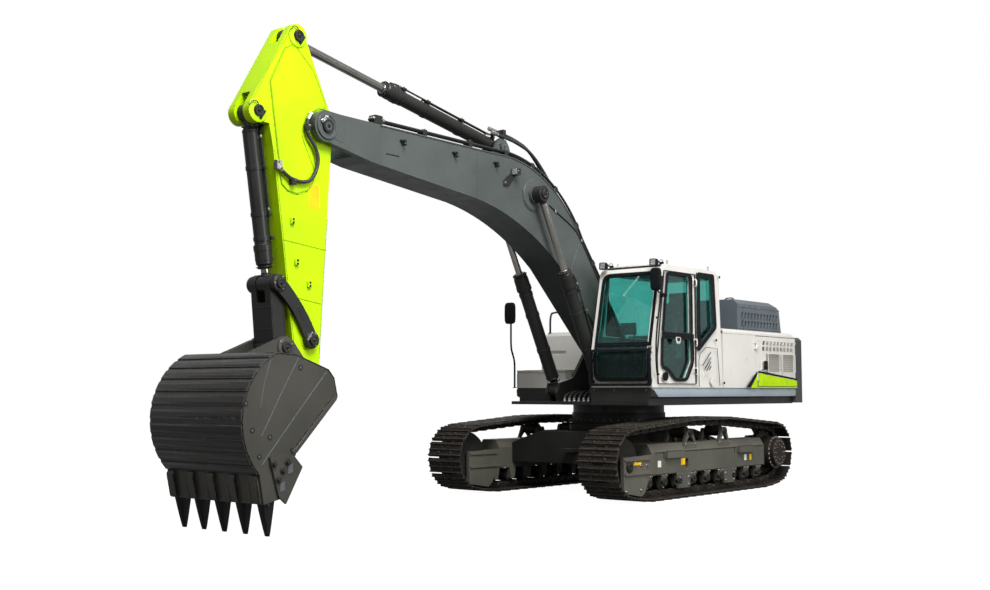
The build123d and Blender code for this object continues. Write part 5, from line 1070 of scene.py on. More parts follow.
def cab_body_fittings():
    """Cab: borders and seals of its panes, corner panel, roof lip, lifting eyes, grab rail, wiper and catches."""
    face = SIDE
    black, seals, white, bright, dark = [], [], [], [], []
    # quarter window: wide printed border and a seal
    black.append(frame_on_side(QUARTER_PANE, 0.014, 0.05, face - 0.003, face + 0.0015, 0.03))
    seals.append(frame_on_side(QUARTER_PANE, -0.003, 0.055, face - 0.028, face - 0.004, 0.03))
    black.append(slab(
        [(0.262, 3.09), (0.262, 2.02), (0.298, 2.00), (0.298, 3.11)], face - 0.002, face + 0.0012, "side", 0.0005))
    # slots pressed into the lower corner panel, drawn as flat dark marks that are painted shade for the inside of the
    # slots, and the panel's pressed edge
    for (x0, z0), (x1, z1) in (((-0.082, 1.997), (0.164, 1.794)), ((-0.086, 1.919), (0.109, 1.746)),
                                ((-0.084, 1.862), (0.053, 1.719)), ((-0.091, 1.799), (-0.018, 1.741))):
        dark.append(slab(pressed_slot(x0, z0, x1, z1, 0.015), face - 0.002, face + 0.0012, "side", 0.0005, 0.007))
    for k in range(4):
        x = -0.011 + 0.056 * k
        white.append(slab(
            pressed_slot(x, 1.647, x, 1.736 - 0.012 * k, 0.014), face - 0.002, face + 0.003, "side", 0.001, 0.005))
    edge = [(0.262, 1.5), (0.262, 1.88), (0.225, 1.965), (0.045, 2.062), (-0.262, 2.052), (-0.33, 1.515)]
    seals.append(pipe(side_path(edge, face + 0.0005), 0.0045, 6, 0))
    for x, z in ((-0.352, 3.085), (-0.236, 2.169), (-0.452, 1.56)):
        dark.append(turned([(-0.002, 0.02), (0.006, 0.02), (0.01, 0.014)], (x, face, z), LEFT, 16))
    # blank film where the side panel carries its badge
    white.append(slab(
        [(-0.12, 1.66), (-0.045, 1.58), (-0.12, 1.5), (-0.195, 1.58)], face - 0.001, face + 0.0012, "side", 0.0005))
    # windscreen: black printed border with round corners, in two heights with a bar between
    y_low, y_high = CAB_INNER + 0.075, face - 0.075
    outer = spread(rounded(box_outline((y_low - 0.028, y_high + 0.028), (1.572, 3.068)), 0.12, 7), 96)
    inner = spread(rounded(box_outline((y_low + 0.018, y_high - 0.018), (1.622, 3.028)), 0.1, 7), 96)
    black.append(ring_of(outer, inner, -0.004, 0.004, on_front))
    black.append(front_band(box_outline((y_low, y_high), (2.045, 2.1)), 0.025, 64, -0.016, 0.003))
    # roof: black lip over the windscreen, skin's edge and lifting eyes
    black.append(slab([(1.075, 3.172), (1.128, 3.158), (1.16, 3.13), (1.15, 3.12), (1.118, 3.148), (1.07, 3.16)],
                      CAB_INNER + 0.08, face - 0.06, "side", 0.002))
    roof_top = HIGH["cab_shell"].z
    for x, y in ((0.92, face - 0.1), (-0.2, face - 0.1), (0.92, CAB_INNER + 0.1), (-0.2, CAB_INNER + 0.1)):
        t = np.linspace(0, ROUND, 15)
        circle = np.stack([x + 0.019 * np.cos(t), roof_top + 0.028 + 0.019 * np.sin(t)], 1)
        bright.append(pipe(side_path(circle, y), 0.0055, 8, 0))
        bright.append(turned([(-0.004, 0.016), (0.008, 0.016), (0.01, 0.01)], (x, y, roof_top), UP, 14))
    # grab rail along the front pillar, on three feet
    rail = [
        (1.25, 2.985), (1.262, 2.95), (1.335, 2.6), (1.432, 2.16), (1.44, 1.9), (1.425, 1.72), (1.405, 1.67),
        (1.365, 1.665)]
    black.append(pipe(side_path(rail, face + 0.03), 0.011, 12))
    for x, z in ((1.252, 2.975), (1.373, 2.42), (1.37, 1.665)):
        black.append(turned([(-0.001, 0.016), (0.03, 0.01)], (x, face, z), LEFT, 12))
    # wiper on the windscreen
    black.append(pipe(on_front([(1.05, 1.99), (1.02, 2.1), (0.8, 2.42), (0.7, 2.78)], 0.02), 0.0045, 8, 2))
    black.append(pipe(on_front([(0.72, 2.48), (0.7, 2.7), (0.69, 2.95)], 0.012), 0.005, 6, 1))
    # hinges and catches where guard and pillar meet
    for z in (2.03, 1.955, 1.6):
        bright.append(brick((1.452, 1.5), (face - 0.06, face - 0.018), span(z, 0.012)))
        bright += bolt((1.5, face - 0.039, z), AHEAD, 0.018, False)
    piece(
        "cab_body_fittings", "upper", [(DARK_TRIM, black + dark), (RUBBER, seals), (WHITE, white), (ZINC, bright)])


cab_body_fittings()


def cab_lining():
    """Dark lining on the walls, roof and floor of the cab, with the openings left free."""
    inner, outer, parts = CAB_INNER + 0.061, SIDE - 0.061, []
    parts.append(brick((-0.4, 1.38), (inner, outer), (1.5505, 1.562), 0.002))
    parts.append(brick((-0.3, 1.1), (inner, outer), (ROOF - 0.075, ROOF - 0.061)))
    parts.append(brick((-0.4, -0.385), (inner + 0.012, outer - 0.012), (1.564, 2.19)))
    parts.append(brick((-0.36, 1.36), (inner, inner + 0.012), (1.564, 2.19)))
    parts.append(brick((-0.36, 0.29), (outer - 0.012, outer), (1.564, 1.99)))
    for y in (inner + 0.002, outer - 0.032):
        parts.append(slab(
            [(1.375, 1.575), (1.395, 1.9), (1.145, 3.04), (1.1, 3.04), (1.355, 1.9), (1.335, 1.575)], y, y + 0.03,
            "side", 0.004))
        parts.append(slab([(-0.385, 2.19), (-0.33, 3.08), (-0.27, 3.08), (-0.325, 2.19)], y, y + 0.03, "side", 0.004))
    # dashboard and blind roll
    parts.append(slab(
        [(1.24, 1.575), (1.37, 1.6), (1.385, 1.86), (1.3, 1.93), (1.27, 1.88)], inner + 0.02, inner + 0.16, "side",
        0.01, 0.03))
    parts.append(turned([(0, 0.03), (outer - inner - 0.04, 0.03)], (1.085, inner + 0.02, ROOF - 0.115), LEFT, 20))
    piece("cab_lining", "upper", [(CAB_PLASTIC, parts)])


cab_lining()


def mesh_guard():
    """Guard: a tube frame on stand-offs with diamond mesh; each strand is a straight run cut by the frame."""
    left, right, low, high = CAB_INNER + 0.005, SIDE - 0.012, 1.51, 2.01
    near, far = 0.04, 0.074
    outer = box_outline((left, right), (low, high))
    outer_loop, inner_loop = spread(rounded(outer, 0.03, 4), 80), spread(rounded(inset(outer, 0.034), 0.012, 4), 80)
    parts = [ring_of(outer_loop, inner_loop, near, far, on_front)]
    for y in (left + 0.015, right - 0.06):
        across = (y, y + 0.042)
        parts.append(front_band(box_outline(across, (low + 0.02, high - 0.02)), 0.0205, 40, near, near + 0.012))
        for z in (low + 0.065, 1.86):
            parts.append(front_band(box_outline(across, span(z, 0.02)), 0.0195, 16, 0.0004, near + 0.004))
    # strands: z = z0 + slope (y - left), both ways
    step, slope = 0.03, 0.62
    a, b, c, d = left + 0.02, right - 0.02, low + 0.02, high - 0.02
    width, height = b - a, d - c
    starts = np.arange(-slope * width + step * 0.3, height, step * slope * 1.25)
    for sign in (1, -1):
        z_a = starts if sign > 0 else starts + slope * width
        s_low = np.clip((0 - z_a) / (sign * slope), 0, width)
        s_high = np.clip((height - z_a) / (sign * slope), 0, width)
        s0, s1 = np.minimum(s_low, s_high), np.maximum(s_low, s_high)
        keep = s1 - s0 > 0.01
        for start, t0, t1 in zip(z_a[keep], s0[keep], s1[keep]):
            ends = np.array([(a + t0, c + start + sign * slope * t0), (a + t1, c + start + sign * slope * t1)])
            middle = ends.mean(0)
            n = np.array((-sign * slope, 1.0)) / math.hypot(slope, 1) * 0.0022
            flat = np.array([ends[0] - n, middle - n, ends[1] - n, ends[1] + n, middle + n, ends[0] + n])
            depth = near + 0.014 + (0.0 if sign > 0 else 0.0028)
            parts.append(skin([on_front(flat, depth), on_front(flat, depth + 0.0028)]))
    piece("mesh_guard", "upper", [(DARK_TRIM, parts)], ("cab_guard",))


mesh_guard()


def rounded_box(x, y, z, power=5.0, rows=20, columns=36):
    """Superellipsoid: point = centre + half size times signed powers 2/n of cos and sin of two angles."""
    spans = np.array((x, y, z), float)
    lift = np.linspace(-math.pi / 2, math.pi / 2, rows + 2)[1:-1, None]
    turn = np.linspace(0, ROUND, columns, endpoint=False)

    def curve(value):
        return np.sign(value) * np.abs(value) ** (2 / power)
    around = curve(np.cos(lift))
    ring = np.stack([around * curve(np.cos(turn)), around * curve(np.sin(turn)),
                     np.broadcast_to(curve(np.sin(lift)), (rows, columns))], -1)
    return skin(spans.mean(1) + ring * np.ptp(spans, 1) / 2)


def lamps_and_mirrors():
    """Two working lamps on the roof with their wires, the mirror on the cab's pillar and the far one on its rail."""
    black, lens, glass, wires, bright = [], [], [], [], []
    front = CAB_FRONT[2, 0]
    low = ROOF - 0.04
    for y in (CAB_INNER + 0.095, SIDE - 0.095):
        black.append(brick(
            (front - 0.155, front - 0.115), span(y, 0.025), (ROOF + 0.0003, ROOF + 0.034), 0.004, 0.006))
        black.append(pipe(
            [(front - 0.135, y, ROOF + 0.024), (front - 0.02, y, ROOF + 0.024), (front + 0.012, y, ROOF + 0.02),
             (front + 0.035, y, ROOF + 0.008)], 0.01, 10, 2))
        black.append(rounded_box((front + 0.03, front + 0.094), span(y, 0.05), (low, low + 0.1), 7))
        for k in range(6):
            black.append(brick(
                (front + 0.016, front + 0.034), (y - 0.04 + 0.0155 * k, y - 0.034 + 0.0155 * k),
                (low + 0.012, low + 0.084), 0.001))
        lens.append(brick(
            (front + 0.09, front + 0.0965), span(y, 0.041), (low + 0.009, low + 0.091), 0.002, 0.012, "front"))
        for row in range(3):
            for column in range(3):
                spot = (front + 0.0965, y - 0.026 + 0.026 * column, low + 0.024 + 0.026 * row)
                bright.append(turned([(0, 0.0115), (0.004, 0.0095), (0.006, 0.004)], spot, AHEAD, 12))
        outer, inner = (
            spread(rounded(box_outline((y - half, y + half), (low + 0.05 - half, low + 0.05 + half)), corner),
             32) for half, corner in ((0.05, 0.016), (0.041, 0.012)))
        black.append(ring_of(outer, inner, front + 0.088, front + 0.099, front_path))
        wires.append(pipe(
            [(front + 0.03, y + 0.02, low + 0.05), (front - 0.02, y + 0.035, low + 0.075),
             (front - 0.06, y + 0.045, ROOF + 0.06), (front - 0.12, y + 0.03, ROOF + 0.045),
             (front - 0.15, y + 0.01, ROOF + 0.012)], 0.0045, 8))
    # mirror on the front pillar
    out = SIDE + 0.0003
    black.append(brick((1.215, 1.262), (out, out + 0.026), (2.7, 2.76), 0.004, 0.008, "side"))
    black.append(pipe(
        [(1.238, out + 0.02, 2.73), (1.238, out + 0.066, 2.73), (1.34, out + 0.066, 2.742),
         (1.445, out + 0.066, 2.76), (1.445, out + 0.066, 2.9)], 0.011, 12))
    black.append(turned([(0, 0.022), (0.05, 0.022)], (1.238, out + 0.066, 2.705), UP, 14))
    black.append(rounded_box((1.43, 1.482), (out - 0.03, out + 0.132), (2.775, 3.08), 4.5))
    glass.append(brick((1.4285, 1.434), (out - 0.016, out + 0.118), (2.798, 3.058), 0.001, 0.02, "front"))
    # far mirror on its rail
    y = -SIDE + 0.022
    black.append(turned([(0, 0.03), (0.01, 0.03), (0.012, 0.02)], (0.6, y, DECK), UP, 18))
    rail = [
        (0.6, y, DECK + 0.003), (0.6, y, 1.7), (0.6, y, 1.9), (0.645, y, 2.000), (0.69, y, 2.1), (0.69, y, 2.4),
        (0.69, y, 2.64), (0.69, y - 0.03, 2.68)]
    black.append(pipe(rail, 0.014, 14))
    black.append(rounded_box((0.67, 0.718), (y - 0.114, y + 0.086), (2.47, 2.8), 4.5))
    glass.append(brick((0.668, 0.674), (y - 0.1, y + 0.072), (2.493, 2.778), 0.001, 0.02, "front"))
    piece(
        "lamps_and_mirrors", "upper",
        [(DARK_TRIM, black), (LAMP_LENS, lens), (MIRROR, glass), (RUBBER, wires), (ZINC, bright)],
        ("mirrors_and_lamps",))


lamps_and_mirrors()


# ------------------------------------------------------------------ machine house
def film(outline):
    """Film on the left wall or door."""
    return slab(outline, SIDE - 0.0005, SIDE + 0.0012, "side", 0.0004)


def lime_wedge():
    """Bright wedge with a dark edge along the foot of the house: one part on the wall, one on the service door."""
    piece(
        "stripe_on_wall", "upper", [(LIME_FILM, [film([(-1.275, 1.492), (-1.482, 1.492), (-1.482, 1.681)]),
         film(box_outline((-1.4925, -2.848), (1.492, 1.505)))]), (DARK_TRIM,
         [film([(-1.125, 1.496), (-1.262, 1.496), (-1.482, 1.694), (-1.482, 1.741), (-1.47, 1.738)])])])
    piece(
        "stripe_on_door", "left_rear_door", [(LIME_FILM, [film([(-1.519, 1.518), (-2.832, 1.518), (-2.832, 1.606),
         (-1.56, 1.712), (-1.519, 1.696)])]), (DARK_TRIM, [film([(-1.519, 1.705), (-1.56, 1.72), (-2.832, 1.613),
         (-2.832, 1.64), (-1.54, 1.75), (-1.519, 1.746)])])])


lime_wedge()


def door_grilles():
    """Left service door: rims, mesh and a dark backing behind the openings, which is painted shade for the space
    behind them; the latch and its key plate.
    """
    face = SIDE
    rims, dark, mesh, bright = [], [], [], []
    for x0, x1 in ((-2.77, -2.34), (-2.29, -1.85)):
        rims.append(frame_on_side(
            box_outline((x0, x1), (1.74, 2.01)), 0.014, -0.001, face - 0.001, face + 0.005, 0.018))
        for x in np.linspace(x0 + 0.012, x1 - 0.012, 20):
            mesh.append(brick(span(x, 0.0055), (face - 0.0335, face - 0.0295), (1.742, 2.008), 0.0006))
        for z in np.linspace(1.752, 1.998, 13):
            mesh.append(brick((x0 + 0.002, x1 - 0.002), (face - 0.0385, face - 0.0338), span(z, 0.003), 0.0006))
    # dark backing: painted shade for the space behind the grilles
    dark.append(brick((-2.806, -1.56), (face - 0.062, face - 0.0465), (1.72, 2.23)))
    for low, slant in ((2.06, 0.0), (2.15, 0.034)):
        for k in range(9):
            x = -2.76 + k * 0.12
            outline = [(x, low), (x + 0.074, low), (x + 0.074 - slant, low + 0.058), (x - slant, low + 0.058)]
            rims.append(frame_on_side(outline, 0.006, -0.0005, face - 0.001, face + 0.0025, 0.008))
            for part in range(3):
                z = low + 0.012 + 0.016 * part
                mesh.append(brick(
                    (x + 0.002 - slant * 0.3, x + 0.07 - slant * 0.4), (face - 0.034, face - 0.03), span(z, 0.002),
                    0.0006))
    latch = box_outline((-1.79, -1.69), (1.77, 1.9))
    dark.append(slab(latch, face + 0.0135, face + 0.0165, "side", 0.001, 0.018))
    dark.append(frame_on_side(latch, 0.004, 0.016, face + 0.01, face + 0.022, 0.02))
    dark.append(brick((-1.766, -1.73), (face + 0.016, face + 0.026), (1.795, 1.872), 0.004, 0.008, "side"))
    bright.append(turned([(0, 0.01), (0.004, 0.01), (0.005, 0.004)], (-1.712, face + 0.0165, 1.84), LEFT, 14))
    for x in (-2.8, -1.53):
        for z in (1.6, 2.2):
            bright.append(turned([(0, 0.011), (0.004, 0.009), (0.005, 0.004)], (x, face, z), LEFT, 12))
    piece(
        "left_door_grilles", "left_rear_door",
        [(WHITE, rims), (DARK_TRIM, dark), (GRILLE_GREY, mesh), (ZINC, bright)])


door_grilles()


def hood_fittings():
    """Hood: pressed white edge, dark backing and frames of the air slots, seams, grips and screws; the dark backing
    is painted shade for the space behind the slots.
    """
    left, rear, front = 1.3, -2.765, -1.3
    white, dark, grey, bright = [], [], [], []
    edge = [
        (1.4835, 2.2835), (1.487, 2.3), (1.485, 2.322), (1.472, 2.343), (1.447, 2.356), (1.34, 2.36), (1.34, 2.3205),
        (1.4795, 2.3205), (1.4803, 2.2835)]
    white.append(slab(edge, -2.786, -0.502, "front", 0.0015))
    slots, first = 12, rear + 0.15
    pitch = (front - rear - 0.22) / slots
    for row in range(2):
        low = 2.32 + 0.105 + row * 0.125
        for x in first + pitch * np.arange(slots):
            outline = [
                (x, low), (x + 0.6 * pitch, low), (x + 0.6 * pitch - 0.02, low + 0.092), (x - 0.02, low + 0.092)]
            grey.append(frame_on_side(outline, 0.005, -0.0005, left - 0.001, left + 0.0035, 0.008))
            for part in range(2):
                z = low + 0.03 + 0.032 * part
                grey.append(brick(
                    (x - 0.01, x + 0.6 * pitch - 0.012), (left - 0.026, left - 0.02), span(z, 0.0035), 0.001))
    # dark backing behind the slots: painted shade for the space under the hood
    dark.append(brick((rear + 0.12, front - 0.045), (left - 0.052, left - 0.0405), (2.405, 2.68)))
    for x in (first + 0.82 * pitch, first + 10.82 * pitch):
        dark.append(brick(span(x, 0.002), (left - 0.001, left + 0.0012), (2.345, 2.735), 0.0004))
    for back, low in ((0.02, 2.386), (0.04, 2.716)):
        dark.append(brick((rear + back, front - 0.004), (left - 0.001, left + 0.0015), (low, low + 0.004), 0.0004))
    for k in range(7):
        bright.append(turned(
            [(0, 0.009), (0.003, 0.008), (0.004, 0.003)], (rear + 0.16 + k * 0.2, left, 2.735), LEFT, 10))
    # grips and rain cover on the box, screws round the deck
    top = 2.84
    for y in (0.45, 1.05):
        grip = [(y - 0.07, top - 0.002), (y - 0.07, top + 0.036), (y + 0.07, top + 0.036), (y + 0.07, top - 0.002)]
        dark.append(pipe(front_path(grip, front - 0.22), 0.009))
    for x in np.linspace(-2.4, -0.7, 8):
        for y in (1.37, -1.4):
            if y < 0 and x > -1.22:
                continue
            level = 2.36 if y > 0 else 2.32
            bright.append(turned([(0, 0.012), (0.004, 0.011), (0.006, 0.004)], (x, y, level), UP, 12))
    dark.append(brick((-1.22, -0.53), (0.42, 1.3), (2.3205, 2.3245), 0.002, 0.04))
    piece(
        "hood_fittings", "engine_hood", [(WHITE, white), (DARK_TRIM, dark), (HOOD_GREY, grey), (ZINC, bright)])


hood_fittings()


def skirts():
    """Bright bevelled skirt along each side; its front end leans, and a black plate closes the platform's nose."""
    section = np.array([
        (1.4765, 1.366), (1.4845, 1.364), (1.494, 1.45), (1.476, 1.4835), (1.476, 1.4895), (1.4718, 1.4895),
        (1.4718, 1.482), (1.4885, 1.4495)])
    skins = []
    for sign, start in ((1, 1.449), (-1, 0.569)):
        front = np.stack([start - (1.4895 - section[:, 1]) * 1.42, sign * section[:, 0], section[:, 1]], 1)
        rear = np.stack([np.full(len(section), -2.848), sign * section[:, 0], section[:, 1]], 1)
        skins.append(skin(np.stack([front, rear])))
    nose = [brick((1.4505, 1.4545), (CAB_INNER + 0.01, SIDE - 0.075), (1.262, 1.484), 0.0015, 0.01, "front")]
    nose.append(brick((1.454, 1.46), (CAB_INNER + 0.06, SIDE - 0.13), (1.3, 1.306), 0.001))
    bolts = []
    for y in (CAB_INNER + 0.05, 0.9, SIDE - 0.12):
        bolts += bolt((1.4545, y, 1.455), AHEAD, 0.018)
    for k in range(9):
        bolts.append(turned(
            [(0, 0.009), (0.003, 0.008), (0.004, 0.003)], (1.2 - 0.48 * k, 1.4825, 1.4705), (0, 0.88, 0.47), 10))
    piece("platform_skirts", "upper", [(SKIRT_GREY, skins), (BLACK, nose), (BOLT_STEEL, bolts)])


skirts()


def right_side_and_rear():
    """Rail, caps, treads and catches of tank and tool box, the right door's grille, the counterweight's fittings."""
    out = -SIDE
    black, white, bright, bolts, grey, glass = [], [], [], [], [], []
    # filler caps: stepped lids with a grip bar
    for x, y, r, z in ((-0.42, -0.9, 0.07, 2.405), (-0.9, -1.1, 0.055, 2.395)):
        black.append(turned(
            [(-0.004, r - 0.002), (0.004, r + 0.008), (0.02, r + 0.008), (0.026, r), (0.026, 0.4 * r)],
            (x, y, z - 0.004), UP))
        black.append(brick((x - r * 0.7, x + r * 0.7), span(y, 0.01), (z + 0.018, z + 0.036), 0.004))
    # rail over the tank
    rail = [(-1.08, 2.355), (-1.08, 2.62), (-1.02, 2.7), (-0.2, 2.7), (-0.12, 2.62), (-0.12, 2.36)]
    black.append(pipe(side_path(rail, -1.355), 0.016, 14))
    for x in (-1.08, -0.12):
        black.append(turned([(0, 0.034), (0.008, 0.034), (0.01, 0.024)], (x, -1.355, 2.352), UP, 18))
    # treads on the tool box lid and the tank's step
    for k in range(10):
        grey.append(brick((0.06 + 0.045 * k, 0.075 + 0.045 * k), (out + 0.1, -0.66), (1.758, 1.7625), 0.001))
    for y in (-1.35, -0.7):
        bolts += bolt((0.02, y, 1.79), UP, 0.014, False)
    bright.append(brick((0.5655, 0.572), (-1.06, -0.98), (1.7, 1.748), 0.002, 0.004, "front"))
    # drain plate and catch of the tank
    white.append(brick((-0.0605, -0.0555), (-1.33, -0.75), (1.56, 1.66), 0.001, 0.012, "front"))
    for y in (-1.28, -0.8):
        bolts += bolt((-0.0555, y, 1.61), AHEAD, 0.016, False)
    black.append(brick((-0.4, -0.2), (out + 0.011, out + 0.016), (1.965, 2.015), 0.001, 0.01, "side"))
    # right service door: rim and mesh, with a dark backing behind them that is painted shade for the space behind the
    # grille
    low, high = -2.2, -1.7
    face = out + 0.01
    rim = frame_on_side(box_outline((low, high), (1.74, 2.11)), 0.014, -0.001, face - 0.005, face + 0.001, 0.018)
    mesh = [brick(
        span(x, 0.002), (face + 0.029, face + 0.033), (1.742, 2.108), 0.0006) for x in np.linspace(low + 0.012,
        high - 0.012, 22)]
    # dark backing: painted shade for the space behind the grille
    mesh.append(brick((low - 0.02, high + 0.02), (face + 0.0465, face + 0.06), (1.72, 2.13)))
    latch = [brick((-2.262, -2.213), (face - 0.0185, face - 0.0135), (1.768, 1.902), 0.0015, 0.01, "side")]
    piece("right_door_grille", "right_pump_door", [(WHITE, [rim]), (DARK_TRIM, mesh + latch)])
    # counterweight: plugs, parting line, rear lamps and tie bolts; its back bulges by 330 mm (1 - (y / SIDE)^2)
    for y in (-0.95, -0.32, 0.32, 0.95):
        x = -3.4295 + 0.33 * (y / SIDE) ** 2
        black.append(turned(
            [(-0.012, 0.052), (0.006, 0.052), (0.01, 0.044), (0.01, 0.02)], (x + 0.004, y, 1.52), (-1, y * 0.3, 0),
            24))
    t = np.linspace(-1.38, 1.38, 47)
    black.append(pipe(np.stack([-3.105 - 0.33 * (1 - (t / SIDE) ** 2), t, np.full(47, 2.02)], 1), 0.004, 6, 0))
    for y in (-1.02, 1.02):
        x = -3.11 - 0.33 * (1 - (y / SIDE) ** 2)
        black.append(rounded_box((x - 0.012, x + 0.03), span(y, 0.1), (1.7, 1.8), 6, 12, 28))
        glass.append(rounded_box((x - 0.016, x + 0.02), span(y, 0.085), (1.715, 1.785), 6, 12, 28))
    for y in (-0.95, 0.95):
        bolts += bolt((-2.98, y, 2.3), UP, 0.06)
    piece(
        "right_and_rear_fittings", "upper",
        [(BLACK, black), (WHITE, white), (ZINC, bright), (BOLT_STEEL, bolts), (DARK_TRIM, grey), (RED_LABEL, glass)])


right_side_and_rear()


# ------------------------------------------------------------------ hydraulic cylinders
def eye_ring(eye_radius):
    """Profile of the thin ring on an eye's face, round its pin."""
    return [(-0.002, eye_radius - 0.014), (0.003, eye_radius - 0.016), (0.003, EYE_BORE + 0.014)]


def dress_cylinder(body, foot, eye, y, radius, rod, gland, eye_radius, pipe_side):
    """Fittings of one cylinder: gland bolts and rings, weld rings, side pipes with clamps, ports and pin ends.

    The point d along it, s off it towards its pipes and t square to both is foot + d u + s side + t tangent."""
    foot, eye = np.array((foot[0], y, foot[2])), np.array((eye[0], y, eye[2]))
    u = (eye - foot) / np.linalg.norm(eye - foot)
    n = np.cross(u, (0, 1.0, 0))
    n = n if n[2] > 0 else -n
    across = np.array((0, 1.0, 0))
    side = n * pipe_side[0] + across * pipe_side[1]
    side /= np.linalg.norm(side)
    tangent = np.cross(u, side)

    def at(d, s=0.0, t=0.0):
        return foot + u * d + side * s + tangent * t
    black, bolts, bright = [], [], []
    # gland: stepped head, bolts round its flange, wiper ring
    black.append(turned(
        [(gland - 0.175, radius + 0.004), (gland - 0.17, radius + 0.0115), (gland - 0.064, radius + 0.0115),
         (gland - 0.06, radius + 0.004)], foot, u, 40))
    black.append(turned(
        [(gland - 0.002, radius + 0.012), (gland + 0.006, radius + 0.01), (gland + 0.006, rod + 0.03),
         (gland + 0.022, rod + 0.026), (gland + 0.022, rod + 0.004)], foot, u, 40))
    black += bolt_ring(foot + u * (gland + 0.005), u, radius - 0.012, 12, 0.022)
    bright.append(turned(
        [(gland + 0.021, rod + 0.01), (gland + 0.027, rod + 0.009), (gland + 0.027, rod + 0.0015)], foot, u))
    seams = [seam_round(foot + u * d, u, radius + 0.0005, 33) for d in (0.15, 0.205, gland - 0.235)]
    # two bands with a saddle that holds the pipes
    off = radius + 0.026
    for d in (gland * 0.36, gland * 0.66, gland - 0.3):
        black.append(turned(
            [(-0.022, radius + 0.001), (-0.022, radius + 0.007), (0.022, radius + 0.007), (0.022, radius + 0.001)],
            foot + u * d, u, 36))
        for t in (-0.026, 0.026):
            black.append(turned(
                [(-0.02, 0.019), (-0.017, 0.022), (0.017, 0.022), (0.02, 0.019)], at(d, off, t), u, 14))
        bolts += bolt(at(d, off + 0.02), side, 0.02)
    # ports and pipes
    for t, start, end in ((-0.026, 0.145, gland - 0.085), (0.026, 0.145, gland * 0.7)):
        run = [
            at(start - 0.03, radius + 0.06, t), at(start, radius + 0.052, t), at(start + 0.08, off, t),
            at(start + 0.16, off, t), at(end - 0.16, off, t), at(end - 0.07, off, t), at(end - 0.02, off - 0.004, t),
            at(end, radius - 0.004, t * 0.6)]
        black.append(pipe(run, 0.0115))
        bright.append(turned([(-0.014, 0.0165), (0.014, 0.0165)], at(end - 0.115, off, t), u, 6))
        bright.append(turned([(-0.016, 0.0175), (0.012, 0.0175)], at(start + 0.115, off, t), u, 6))
    end = gland - 0.085
    black.append(turned([(-0.012, 0.03), (0.022, 0.028), (0.026, 0.022)], at(end, radius, -0.012), side, 16))
    black.append(turned([(-0.012, 0.034), (0.04, 0.032), (0.05, 0.026)], at(0.13, radius - 0.01, 0), side, 16))
    # foot eye: rings and grease nipple
    for sign in (-1, 1):
        black.append(turned(eye_ring(eye_radius), foot + across * sign * EYE_HALF, across * sign, 36))
    bright.append(turned(
        [(-0.006, 0.01), (0.01, 0.009), (0.012, 0.005), (0.022, 0.005)], foot - u * eye_radius * 0.94, -u, 8))
    piece(f"{body}_fittings", body, [(BLACK, black + seams), (BOLT_STEEL, bolts), (ZINC, bright)])


def ring_round(centre, radius, bore, half):
    """Painted eye round a pin: circles of the outer radius and of the bore at both faces, joined in a closed band."""
    t = np.linspace(0, ROUND, 48, endpoint=False)
    outer, inner = (np.stack(
        [centre[0] + size * np.cos(t), centre[2] + size * np.sin(t)], 1) for size in (radius + 0.0015, bore + 0.002))
    return ring_of(outer, inner, centre[1] - half - 0.001, centre[1] + half + 0.001, side_path)


def rod_end(name, body, eye, toward, y, rod, eye_radius):
    """Rod's eye: its collar and seam where the rod is welded on, a painted band round the eye and side rings."""
    eye = np.array((eye[0], y, eye[2]))
    u = np.array((toward[0], y, toward[2])) - eye
    u = u / np.linalg.norm(u)
    reach = eye_radius + 0.01
    collar = [turned(
        [(eye_radius - 0.02, rod + 0.004), (reach + 0.012, rod + 0.003), (reach + 0.02, rod + 0.0005)], eye, u)]
    seam = [seam_round(eye + u * (eye_radius - 0.004), u, rod + 0.003, 29)]
    rings = [ring_round(eye, eye_radius, EYE_BORE, EYE_HALF)]
    for sign in (-1, 1):
        rings.append(turned(eye_ring(eye_radius), eye + (0, sign * EYE_HALF, 0), (0, sign, 0), 36))
    piece(name, body, [(BLACK, collar + rings), (BLACK, seam)])


for side_name, sign in (("left", 1), ("right", -1)):
    dress_cylinder(
        f"boom_cylinder_{side_name}", BOOM_CYLINDER_FOOT, BOOM_EYE, sign * BOOM_CYLINDER_Y, 0.092, 0.046, 1.82,
        EYE_RADIUS, (0.55, sign * 0.83))
    rod_end(
        f"boom_rod_{side_name}_eye", f"boom_rod_{side_name}", BOOM_EYE, BOOM_CYLINDER_FOOT, sign * BOOM_CYLINDER_Y,
        0.046, EYE_RADIUS)
dress_cylinder("arm_cylinder", ARM_CYLINDER_FOOT, ARM_EYE, 0, 0.088, 0.05, 2.165, EYE_RADIUS, (0.95, 0.3))
rod_end("arm_rod_eye", "arm_rod", ARM_EYE, ARM_CYLINDER_FOOT, 0, 0.05, EYE_RADIUS)
dress_cylinder("bucket_cylinder", BUCKET_CYLINDER_FOOT, LINK_PIN, 0, 0.082, 0.045, 1.65, 0.095, (0.97, 0.25))
rod_end("bucket_rod_eye", "bucket_rod", LINK_PIN, BUCKET_CYLINDER_FOOT, 0, 0.045, 0.095)


